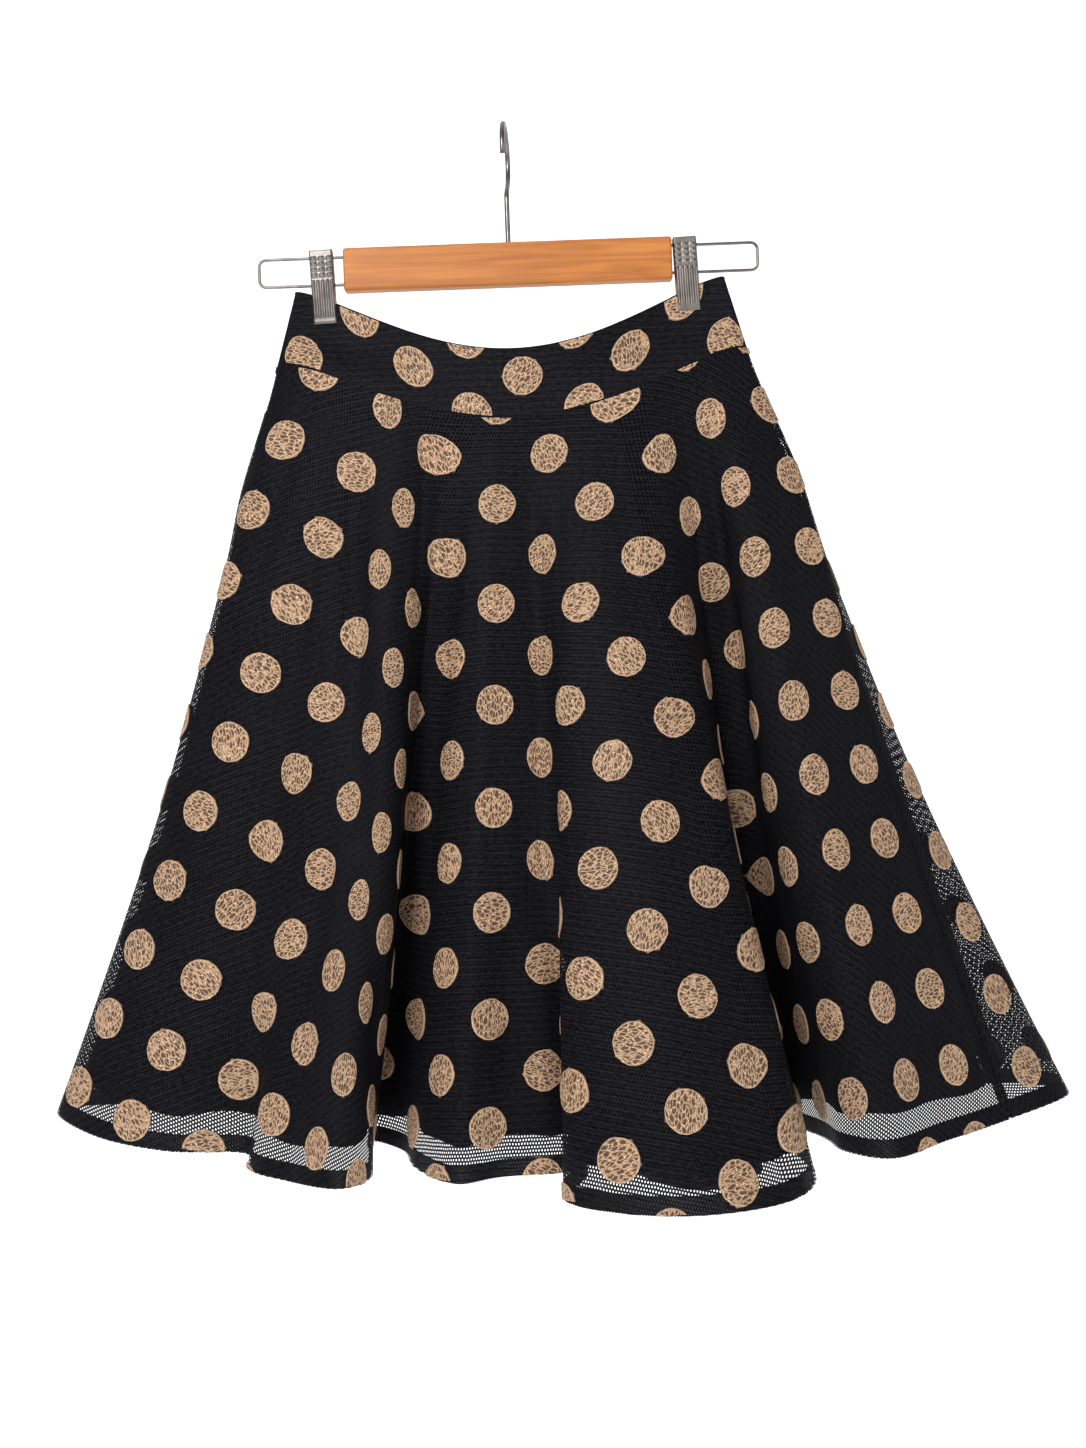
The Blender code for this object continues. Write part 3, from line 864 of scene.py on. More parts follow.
@dataclass(frozen=True)
class NetFinish:
    """Black net: staggered holes between threads, seen through where nothing lies behind."""

    name: str = "net"
    thread: tuple = (0.0085, 0.0083, 0.0108)
    pitch_across: float = 0.0020
    pitch_down: float = 0.0049
    hole_across: float = 0.00048
    hole_down: float = 0.00074
    open_share: float = 1.0
    roughness: float = 0.62
    ribs: float = 0.0052
    shade: float = 0.4
    shine: float = 1.7

    def make(self) -> bpy.types.Material:
        """Return the material."""
        shader = Shader(self.name)
        cut = shader.drift(shader.uv("cut"), 90.0, 0.0012)
        x, y, _ = shader.parts(cut)
        across = x / self.pitch_across
        down = y / self.pitch_down
        hole = None
        for shift in (0.0, 0.5):
            dx = ((across + shift).apply("FRACT") - 0.5) * self.pitch_across
            dy = ((down + shift).apply("FRACT") - 0.5) * self.pitch_down
            far = ((dx / self.hole_across) ** 2.0 + (dy / self.hole_down) ** 2.0).apply("SQRT")
            hole = far if hole is None else hole.apply("MINIMUM", far)
        solid = hole.between(0.88, 1.12)
        alpha = 1.0 - (1.0 - solid) * self.open_share
        _, lines, _ = shader.parts(shader.drift(shader.uv("cut"), 14.0, 0.010))
        wave = (lines * (2 * math.pi / self.ribs)).apply("SINE") * 0.5 + 0.5
        patch = shader.noise(shader.uv("cut"), 22.0, 2.0)
        weave = shader.noise(shader.scaled(shader.uv("cut"), (1.0, 2.2, 1.0)), 260.0, 3.0)
        light = wave * 0.9 * patch + (weave.between(0.30, 0.70) - 0.5) * 0.9 + 0.36
        dark = tuple(value * self.shade for value in self.thread)
        bright = tuple(value * self.shine for value in self.thread)
        shader.set(
            Base_Color=shader.mix(light, dark, bright),
            Roughness=self.roughness,
            Alpha=alpha,
            Specular_IOR_Level=0.06,
        )
        shader.bump(solid, 0.0003, 0.6)
        return shader.material


@dataclass(frozen=True)
class LiningFinish:
    """Plain black woven lining with a faint sheen."""

    name: str = "lining"
    colour: tuple = (0.0016, 0.0016, 0.0022)
    shine: float = 1.9
    weave: float = 9000.0

    def make(self) -> bpy.types.Material:
        """Return the material."""
        shader = Shader(self.name)
        x, y, _ = shader.parts(shader.uv("cut"))
        weave = (x * self.weave).apply("SINE") * (y * self.weave).apply("SINE") * 0.5 + 0.5
        soft = shader.noise(shader.uv("cut"), 30.0)
        pale = tuple(value * self.shine for value in self.colour)
        shader.set(
            Base_Color=shader.mix(soft * 0.6, self.colour, pale),
            Roughness=soft * 0.15 + 0.48,
            Specular_IOR_Level=0.12,
        )
        shader.bump(weave, 0.0001, 0.4)
        return shader.material


@dataclass(frozen=True)
class ThreadFinish:
    """Beige metallic threads of a dot: a crackle of strands over dark gaps, with a bright rim."""

    name: str = "dot_thread"
    pale: tuple = (0.82, 0.56, 0.37)
    warm: tuple = (0.31, 0.165, 0.078)
    gap: tuple = (0.085, 0.038, 0.020)
    strand: float = 0.0022

    def make(self) -> bpy.types.Material:
        """Return the material."""
        shader = Shader(self.name)
        cut = shader.drift(shader.uv("cut"), 260.0, 0.0016)
        across, down, _ = shader.parts(cut)
        reach, tone, _ = shader.parts(shader.uv("dot"))
        lean = tone * 6.0
        along = across * lean.apply("COSINE") + down * lean.apply("SINE")
        over = down * lean.apply("COSINE") - across * lean.apply("SINE")
        cells = shader.node(
            "ShaderNodeTexVoronoi",
            {"Vector": shader.joined(along / 2.2, over, tone), "Scale": 1 / self.strand},
            feature="DISTANCE_TO_EDGE",
        )
        ridge = shader.wire(cells, "Distance")
        edge = reach.between(0.91, 0.95)
        fringe = reach.between(0.965, 0.995)
        gap = ridge.between(0.10, 0.22) * (1.0 - edge)
        ply = shader.noise(shader.joined(along * 0.35, over), 1700.0, 2.0).between(0.40, 0.60)
        body = shader.mix(ply, self.warm, self.pale)
        rimmed = shader.mix(edge * 0.5, body, self.pale)
        shader.set(
            Base_Color=shader.mix(gap * 0.92 + fringe * 0.6, rimmed, self.gap),
            Roughness=ply * 0.2 + 0.42,
            Specular_IOR_Level=0.4,
        )
        height = (1.0 - gap) * 0.7 + ply * 0.3
        shader.bump(height, 0.0008, 0.9)
        return shader.material


@dataclass(frozen=True)
class WoodFinish:
    """Varnished wood with its grain along the bar."""

    name: str = "wood"
    pale: tuple = (0.62, 0.215, 0.034)
    dark: tuple = (0.42, 0.125, 0.016)
    warm: tuple = (0.68, 0.27, 0.060)
    pore: tuple = (0.36, 0.13, 0.035)

    def make(self) -> bpy.types.Material:
        """Return the material."""
        shader = Shader(self.name)
        place = shader.place()
        long = shader.scaled(place, (5.0, 60.0, 60.0))
        x, y, z = shader.parts(shader.drift(long, 1.4, 0.9))
        bands = shader.noise(shader.joined(x * 0.5, y, z), 3.2, 6.0, 0.62)
        pores = shader.noise(shader.scaled(place, (60.0, 900.0, 900.0)), 1.0, 3.0)
        broad = shader.noise(shader.scaled(place, (9.0, 30.0, 30.0)), 1.0, 2.0)
        colour = shader.mix(bands.between(0.34, 0.68), self.dark, self.pale)
        warmed = shader.mix(broad.between(0.4, 0.7) * 0.3, colour, self.warm)
        shader.set(
            Base_Color=shader.mix(pores.between(0.55, 0.75) * 0.35, warmed, self.pore),
            Roughness=bands * 0.15 + 0.42,
            Coat_Weight=0.12,
            Coat_Roughness=0.25,
        )
        shader.bump(bands * 0.6 + pores * 0.4, 0.0003, 0.35)
        return shader.material


@dataclass(frozen=True)
class MetalFinish:
    """Plated or bright metal with fine scratches."""

    name: str
    colour: tuple
    roughness: float
    scratches: tuple
    smudged: float = 0.72

    def make(self) -> bpy.types.Material:
        """Return the material."""
        shader = Shader(self.name)
        place = shader.place()
        fine = shader.noise(shader.scaled(place, self.scratches), 1.0, 4.0)
        smudge = shader.noise(place, 120.0, 3.0)
        dull = tuple(value * self.smudged for value in self.colour)
        shader.set(
            Base_Color=shader.mix(smudge.between(0.3, 0.7), self.colour, dull),
            Metallic=1.0,
            Roughness=self.roughness + (fine - 0.5) * 0.10 + (smudge - 0.5) * 0.08,
        )
        shader.bump(fine, 0.00002, 0.2)
        return shader.material


@dataclass(frozen=True)
class StitchFinish:
    """Black sewing thread and dense turned edges."""

    name: str = "stitch"
    colour: tuple = (0.0025, 0.0025, 0.0032)
    shine: float = 2.2

    def make(self) -> bpy.types.Material:
        """Return the material."""
        shader = Shader(self.name)
        grain = shader.noise(shader.place(), 1800.0, 2.0)
        pale = tuple(value * self.shine for value in self.colour)
        shader.set(
            Base_Color=shader.mix(grain * 0.7, self.colour, pale),
            Roughness=0.7,
            Specular_IOR_Level=0.15,
        )
        shader.bump(grain, 0.0003, 0.5)
        return shader.material


@dataclass
class Kit:
    """Every material of the object."""

    net: bpy.types.Material = field(init=False)
    belt: bpy.types.Material = field(init=False)
    hem: bpy.types.Material = field(init=False)
    lining: bpy.types.Material = field(init=False)
    dots: bpy.types.Material = field(init=False)
    stitch: bpy.types.Material = field(init=False)
    wood: bpy.types.Material = field(init=False)
    nickel: bpy.types.Material = field(init=False)
    steel: bpy.types.Material = field(init=False)

    def __post_init__(self) -> None:
        """Make the materials."""
        self.net = NetFinish().make()
        self.belt = NetFinish("net_belt", open_share=0.5).make()
        self.hem = NetFinish("net_hem", thread=(0.0040, 0.0040, 0.0075), open_share=0.05).make()
        self.lining = LiningFinish().make()
        self.dots = ThreadFinish().make()
        self.stitch = StitchFinish().make()
        self.wood = WoodFinish().make()
        self.nickel = MetalFinish("nickel", (0.30, 0.270, 0.250), 0.44, (900.0, 900.0, 40.0)).make()
        self.steel = MetalFinish("steel", (0.25, 0.24, 0.23), 0.34, (300.0, 300.0, 300.0)).make()


def dress(mesh: bpy.types.Mesh, material: bpy.types.Material) -> None:
    """Give a mesh one material."""
    mesh.materials.clear()
    mesh.materials.append(material)


def meshed(name: str, grid: bmesh.types.BMesh) -> bpy.types.Mesh:
    """Return a new mesh of what a bmesh holds, and free the bmesh."""
    mesh = bpy.data.meshes.new(name)
    grid.to_mesh(mesh)
    grid.free()
    return mesh


def linked(name: str, mesh: bpy.types.Mesh, material: bpy.types.Material) -> bpy.types.Object:
    """Return a new object of a mesh, with its material, that rides on the body.

    Args:
        name: The piece's name.
        mesh: Its mesh.
        material: Its finish.

    Returns:
        The object.
    """
    dress(mesh, material)
    made = bpy.data.objects.new(name, mesh)
    bpy.context.scene.collection.objects.link(made)
    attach(made, "root")
    return made


def woven(
    name: str,
    turns: np.ndarray,
    shares: np.ndarray,
    face: Callable,
    flat: Callable,
    material: bpy.types.Material,
) -> bpy.types.Object:
    """Make a sheet from a grid whose points are moved onto a face.

    Args:
        name: The piece's name.
        turns: Turns of the grid's columns.
        shares: Shares down of the grid's rows.
        face: Gives places for turns and shares.
        flat: Gives flat places for turns and shares, for the UV map.
        material: Its finish.

    Returns:
        The piece.
    """
    grid = bmesh.new()
    bmesh.ops.create_grid(grid, x_segments=len(turns) - 1, y_segments=len(shares) - 1, size=0.5)
    grid.verts.ensure_lookup_table()
    start = np.array([point.co[:] for point in grid.verts])
    columns = np.rint((start[:, 0] + 0.5) * (len(turns) - 1)).astype(int)
    rows = np.rint((0.5 - start[:, 1]) * (len(shares) - 1)).astype(int)
    places = face(turns[columns], shares[rows])
    cut = flat(turns[columns], shares[rows])
    layer = grid.loops.layers.uv.new("cut")
    for corner in (loop for side in grid.faces for loop in side.loops):
        corner[layer].uv = cut[corner.vert.index]
    mesh = meshed(name, grid)
    mesh.vertices.foreach_set("co", places.astype(np.float32).ravel())
    mesh.update()
    mesh.shade_smooth()
    return linked(name, mesh, material)


def tube(
    name: str,
    centres: np.ndarray,
    radius: float,
    sides: int,
    material: bpy.types.Material,
    closed: bool = False,
) -> bpy.types.Object:
    """Make a round tube along points.

    Args:
        name: The piece's name.
        centres: Points along its middle.
        radius: Its radius.
        sides: How many sides it has.
        material: Its finish.
        closed: Whether its two ends meet.

    Returns:
        The piece.
    """
    curve = bpy.data.curves.new(name, "CURVE")
    curve.dimensions = "3D"
    curve.bevel_depth = radius
    curve.bevel_resolution = max(sides // 2 - 1, 0)
    curve.use_fill_caps = not closed
    spline = curve.splines.new("POLY")
    spline.points.add(len(centres) - 1)
    spline.use_cyclic_u = closed
    for place, centre in zip(spline.points, centres):
        place.co = (*centre, 1.0)
    spline.use_smooth = True
    maker = bpy.data.objects.new(name + "_curve", curve)
    bpy.context.scene.collection.objects.link(maker)
    shape = maker.evaluated_get(bpy.context.evaluated_depsgraph_get())
    mesh = bpy.data.meshes.new_from_object(shape)
    bpy.data.objects.remove(maker)
    mesh.name = name
    mesh.shade_smooth()
    return linked(name, mesh, material)


@dataclass
class Dots:
    """Round patches of thread, set out in the flat on a half-drop grid and laid on the cloth."""

    radius: float = 0.0142
    across: float = 0.03985
    down: float = 0.03645
    first_across: dict = field(default_factory=lambda: {Panel.FRONT: 0.2, Panel.BACK: 0.45})
    first_down: dict = field(default_factory=lambda: {Panel.FRONT: -7.49, Panel.BACK: -7.9})
    farthest: float = 0.83
    widest_angle: float = 1.0
    spokes: int = 44
    thick: float = 0.0008
    clearance: float = 0.0002
    lobe: float = 0.008
    ragged_from: float = 0.9
    ragged: tuple = (-0.018, 0.022)
    stray_chance: float = 0.06
    stray: tuple = (0.03, 0.09)
    profile: tuple = (
        (0.0, 1.0), (0.30, 1.0), (0.62, 1.0), (0.86, 1.0), (0.93, 1.25), (0.985, 1.0), (1.0, 0.0)
    )

    def centres(self, panel: Panel, cut: Cut) -> Iterable[tuple]:
        """Yield the flat centres of the dots that touch a panel.

        Args:
            panel: The panel.
            cut: Its flat pattern.
        """
        for column in range(-16, 17):
            for row in range(-8, 16):
                if (column + row) % 2:
                    continue
                x = self.across * (column - self.first_across[panel])
                y = -self.down * (row - self.first_down[panel])
                angle = math.atan2(x, -y)
                radius = math.hypot(x, y)
                low, high = cut.fine_angles[panel][0], cut.fine_angles[panel][-1]
                beyond = max(angle - high, low - angle) * radius
                inner = cut.top_radius(np.array(angle)) - radius
                near = beyond < self.radius and inner < self.radius
                if near and radius < self.farthest and abs(angle) < self.widest_angle:
                    yield x, y

    def patch(self, grid: bmesh.types.BMesh, centre: tuple, luck: random.Random) -> list:
        """Add one flat dot to a mesh, its height in z.

        Args:
            grid: The mesh to add it to.
            centre: Its middle in the flat.
            luck: Seeded random numbers for its ragged edge.

        Returns:
            Its faces.
        """
        tone = luck.random()
        lobes = [luck.uniform(-self.lobe, self.lobe) for _ in range(5)]
        rings = []
        for share, height in self.profile:
            ring = []
            for spoke in range(self.spokes if share else 1):
                angle = 2 * math.pi * spoke / self.spokes
                reach = 1.0 + sum(
                    lobe * math.sin((i + 2) * angle + 9 * lobe * 40) for i, lobe in enumerate(lobes)
                )
                if share > self.ragged_from:
                    reach += luck.uniform(*self.ragged)
                    if share == 1.0 and luck.random() < self.stray_chance:
                        reach += luck.uniform(*self.stray)
                out = share * reach * self.radius
                x = centre[0] + out * math.cos(angle)
                y = centre[1] + out * math.sin(angle)
                ring.append((grid.verts.new((x, y, height * self.thick)), share))
            rings.append(ring)
        faces = []
        for inner, outer in zip(rings, rings[1:]):
            for spoke in range(self.spokes):
                after = (spoke + 1) % self.spokes
                corners = [outer[spoke], outer[after]]
                corners += [inner[0]] if len(inner) == 1 else [inner[after], inner[spoke]]
                face = grid.faces.new([corner[0] for corner in corners])
                face.smooth = True
                layer = grid.loops.layers.uv["dot"]
                for loop, corner in zip(face.loops, corners):
                    loop[layer].uv = (corner[1], tone)
                faces.append(face)
        return faces

    @staticmethod
    def trim(grid: bmesh.types.BMesh, faces: list, point: tuple, outward: tuple) -> list:
        """Cut away what lies beyond a straight line of the flat pattern.

        Args:
            grid: The mesh.
            faces: The dot's faces.
            point: A point of the line.
            outward: The direction that is cut away.

        Returns:
            The faces that are left.
        """
        edges = dict.fromkeys(edge for face in faces for edge in face.edges)
        points = dict.fromkeys(corner for face in faces for corner in face.verts)
        cut = bmesh.ops.bisect_plane(
            grid, geom=[*faces, *edges, *points], plane_co=(*point, 0.0),
            plane_no=(*outward, 0.0), clear_outer=True,
        )
        return [item for item in cut["geom"] if isinstance(item, bmesh.types.BMFace)]

    def build(
        self,
        name: str,
        flats: Iterable[tuple],
        clip: Callable,
        lift: Callable,
        material: bpy.types.Material,
        seed: int,
    ) -> bpy.types.Object:
        """Make all the dots of one piece of cloth as one mesh.

        Args:
            name: The piece's name.
            flats: Flat centres.
            clip: Gives the lines that cut a dot, as points and outward directions.
            lift: Turns flat places and heights into places on the cloth.
            material: Its finish.
            seed: Seed of the ragged edges.

        Returns:
            The piece.
        """
        luck = random.Random(seed)
        grid = bmesh.new()
        grid.loops.layers.uv.new("cut")
        grid.loops.layers.uv.new("dot")
        for centre in flats:
            faces = self.patch(grid, centre, luck)
            for point, outward in clip(centre):
                if faces:
                    faces = self.trim(grid, faces, point, outward)
        layer = grid.loops.layers.uv["cut"]
        for loop in (loop for face in grid.faces for loop in face.loops):
            loop[layer].uv = loop.vert.co.xy
        mesh = meshed(name, grid)
        flat = np.empty(len(mesh.vertices) * 3, np.float32)
        mesh.vertices.foreach_get("co", flat)
        places = lift(flat.reshape(-1, 3).astype(float))
        mesh.vertices.foreach_set("co", places.astype(np.float32).ravel())
        mesh.update()
        mesh.shade_smooth()
        return linked(name, mesh, material)


@dataclass
class SkirtHalf:
    """One net panel with its turned-up hem, its lining, its dots and its stitches."""

    panel: Panel
    columns: int = 420
    rows: int = 84
    lining_columns: int = 300
    lining_rows: int = 64
    margin: float = 0.0003
    hem_rows: int = 6
    hem_end: float = 0.9995
    hem_depth: float = 0.0012
    lining_start: float = 0.002
    lining_rise: float = 0.027
    stitch_count: int = 400
    stitch_size: tuple = (0.0026 * 0.62, 0.0004, 0.0004)
    stitch_depths: tuple = (0.00055, 0.0016)

    def build(self, drape: Drape, cut: Cut, kit: Kit) -> None:
        """Make the panel's pieces.

        Args:
            drape: Where the cloth hangs.
            cut: Its flat pattern.
            kit: The materials.
        """
        word = self.panel.word
        first = self.panel.value + self.margin
        last = self.panel.value + 0.5 - self.margin
        turns = np.linspace(first, last, self.columns)
        lining_turns = np.linspace(first, last, self.lining_columns)
        shares = np.linspace(self.margin, 1.0, self.rows)
        band = np.linspace(SIZES.hem_band_share, self.hem_end, self.hem_rows)
        lining_shares = np.linspace(self.lining_start, SIZES.lining_end_share, self.lining_rows)
        flat = partial(cut.flat, self.panel)
        outside = partial(drape.cloth, depth=0.0)
        turned_up = partial(drape.cloth, depth=self.hem_depth)
        net = woven(f"net_{word}", turns, shares, outside, flat, kit.net)
        hem = woven(f"hem_{word}", turns, band, turned_up, flat, kit.hem)
        lining = woven(
            f"lining_{word}_cloth", lining_turns, lining_shares, drape.lining, flat, kit.lining
        )
        dots = self.dots(drape, cut, kit)
        stitches = self.stitches(drape, kit)
        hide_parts(f"skirt_{word}")
        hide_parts(f"lining_{word}")

    def dots(self, drape: Drape, cut: Cut, kit: Kit) -> bpy.types.Object:
        """Make the panel's dots, cut off at its seams and hem.

        Args:
            drape: Where the cloth hangs.
            cut: Its flat pattern.
            kit: The materials.

        Returns:
            The piece.
        """
        maker = Dots()
        seam_gap = 0.001
        hem_gap = 0.0004

        def clip(centre: tuple) -> Iterable[tuple]:
            """Yield the lines of both side seams, the hem and the waist seam near a dot."""
            x, y = centre
            angle = math.atan2(x, -y)
            reach = cut.fine_angles[self.panel]
            edges = (reach[0] + seam_gap, reach[-1] - seam_gap)
            for side, edge in zip((-1, 1), edges):
                yield (0.0, 0.0), (side * math.cos(edge), side * math.sin(edge))
            away = (math.sin(angle), -math.cos(angle))
            turn = cut.turns(self.panel, np.clip(np.array(angle), *edges))
            top = float(cut.top_radius(np.array(angle)))
            hem = top + float(cut.length(self.panel, turn)) - hem_gap
            waist = top + seam_gap
            yield (away[0] * hem, away[1] * hem), away
            yield (away[0] * waist, away[1] * waist), (-away[0], -away[1])

        def lift(flat: np.ndarray) -> np.ndarray:
            """Return the places on the cloth of flat places and heights."""
            turns, shares = cut.placed(self.panel, flat[:, :2])
            return drape.cloth(turns, np.minimum(shares, 1.0), -maker.clearance - flat[:, 2])

        name = f"dots_{self.panel.word}"
        flats = maker.centres(self.panel, cut)
        return maker.build(name, flats, clip, lift, kit.dots, seed=11 + self.panel.index)

    def stitches(self, drape: Drape, kit: Kit) -> bpy.types.Object:
        """Make the row of stitches that holds the turned-up hem, seen on both of its sides.

        Args:
            drape: Where the cloth hangs.
            kit: The materials.

        Returns:
            The piece.
        """
        start = self.panel.value
        end_gap, ahead_by, below = 0.001, 0.0004, 0.0016
        grid = bmesh.new()
        centres = np.linspace(start + end_gap, start + 0.5 - end_gap, self.stitch_count)
        share = np.full(self.stitch_count, SIZES.hem_band_share + below)
        for depth in self.stitch_depths:
            places = drape.cloth(centres, share, depth)
            ahead = drape.cloth(centres + ahead_by, share, depth)
            for place, after in zip(places, ahead):
                way = Vector(after - place).normalized()
                turned = way.to_track_quat("X", "Z").to_matrix().to_4x4()
                turned.translation = Vector(place)
                made = bmesh.ops.create_cube(grid, size=1.0)
                bmesh.ops.scale(grid, vec=self.stitch_size, verts=made["verts"])
                bmesh.ops.transform(grid, matrix=turned, verts=made["verts"])
        name = f"stitches_{self.panel.word}"
        return linked(name, meshed(name, grid), kit.stitch)


@dataclass
class BandHalf:
    """The front or rear of the waistband, with its dots."""

    panel: Panel
    columns: int = 260
    rows: int = 22
    margin: float = 0.0002
    last_share: float = 0.998
    lining_depth: float = 0.0007
    fine_columns: int = 1500
    fine_margin: float = 1e-4
    edge_gap: float = 0.0004
    top_half_width: float = 0.1565
    widening: float = 0.0147

    @property
    def sign(self) -> int:
        """Return which way turns run across this half."""
        return 1 if self.panel is Panel.FRONT else -1

    def build(self, drape: Drape, kit: Kit) -> None:
        """Make the band's outer and inner faces and its dots.

        Args:
            drape: Where the cloth hangs.
            kit: The materials.
        """
        word = self.panel.word
        start = self.panel.value
        turns = np.linspace(start + self.margin, start + 0.5 - self.margin, self.columns)
        shares = np.linspace(0.0, self.last_share, self.rows)

        def flat(at: np.ndarray, down: np.ndarray) -> np.ndarray:
            """Return flat places for turns and shares."""
            place = drape.band(at, down)
            return np.stack([place[..., 0] * self.sign, place[..., 2]], axis=-1)

        for part, depth, material in (("net", 0.0, kit.belt), ("lining", self.lining_depth, kit.lining)):
            face = partial(drape.belt, depth=depth)
            woven(f"waistband_{word}_{part}", turns, shares, face, flat, material)
        dots = self.dots(drape, kit)
        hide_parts(f"waistband_{word}")

    def dots(self, drape: Drape, kit: Kit) -> bpy.types.Object:
        """Make the band's dots from their short table.

        Args:
            drape: Where the cloth hangs.
            kit: The materials.

        Returns:
            The piece.
        """
        maker = Dots()
        start = self.panel.value
        fine = np.linspace(start + self.fine_margin, start + 0.5 - self.fine_margin, self.fine_columns)
        across_at = [
            drape.band(fine, np.full(self.fine_columns, share))[:: self.sign, 0] for share in (0.0, 1.0)
        ]

        def flats() -> Iterable[tuple]:
            """Yield the flat centres of the table's dots."""
            for row in BAND_DOTS:
                yield row.across / 1000, -row.share * SIZES.band_depth

        def clip(centre: tuple) -> Iterable[tuple]:
            """Yield the lines of the band's two long edges and of its ends near a dot."""
            yield (0.0, -self.edge_gap), (0.0, 1.0)
            yield (0.0, -SIZES.band_depth + self.edge_gap), (0.0, -1.0)
            half = self.top_half_width + self.widening * -centre[1] / SIZES.band_depth
            for side in (-1, 1):
                yield (side * half, 0.0), (side * 1.0, 0.0)

        def lift(flat: np.ndarray) -> np.ndarray:
            """Return the places on the band of flat places and heights."""
            share = np.clip(-flat[:, 1] / SIZES.band_depth, 0.0, 1.0)
            low, high = (np.interp(flat[:, 0], row, fine[:: self.sign]) for row in across_at)
            return drape.belt(blend(low, high, share), share, -maker.clearance - flat[:, 2])

        name = f"waistband_{self.panel.word}_dots"
        return maker.build(name, flats(), clip, lift, kit.dots, seed=31 + self.panel.index)


@dataclass
class Seams:
    """The waist seam, a dark tube that is partly the seam and partly painted shadow under the band's edge,
    the side seams' allowances and the band's top edge.
    """

    # Radius of the waist seam's dark tube, partly seam and partly painted shadow.
    seam_shadow_radius: float = 0.0006
    edge_radius: float = 0.0008
    sunk: float = 0.0004
    columns: int = 420
    rows: int = 80
    sides: int = 8
    allowance: float = 0.010
    allowance_depth: float = 0.0009
    length: float = 0.56

    def build(self, drape: Drape, kit: Kit) -> None:
        """Make the seams.

        Args:
            drape: Where the cloth hangs.
            kit: The materials.
        """
        turns = np.linspace(0.0, 1.0, self.columns, endpoint=False)
        # The waist seam's black tube is partly the seam and partly painted shadow where the band's lower edge
        # shades the skirt.
        for name, share, radius in (
            ("waist_seam_shadow_line", 1.0, self.seam_shadow_radius),
            ("waist_edge", 0.0, self.edge_radius),
        ):
            line = drape.belt(turns, np.full(self.columns, share), self.sunk)
            tube(name, line, radius, self.sides, kit.stitch, closed=True)
        places = np.linspace(0.0, 1.0, 5)
        shares = np.linspace(0.004, 0.998, self.rows)
        for side, turn in (("left", 0.0), ("right", 0.5)):
            face = partial(self.face, drape, turn)
            strip = woven(f"side_seam_{side}", places, shares, face, self.flat, kit.hem)

    def face(self, drape: Drape, turn: float, places: np.ndarray, down: np.ndarray) -> np.ndarray:
        """Return places on the inside of the cloth for an allowance.

        Args:
            drape: Where the cloth hangs.
            turn: The turn of the seam.
            places: Shares across the allowance.
            down: Shares of the way down.
        """
        round_top, round_hem = 0.71, 2.58
        local = turn + (places - 0.5) * self.allowance / blend(round_top, round_hem, down)
        return drape.cloth(local, down, self.allowance_depth)

    def flat(self, places: np.ndarray, down: np.ndarray) -> np.ndarray:
        """Return flat places for shares across and down."""
        return np.stack([places * self.allowance, -down * self.length], axis=-1)


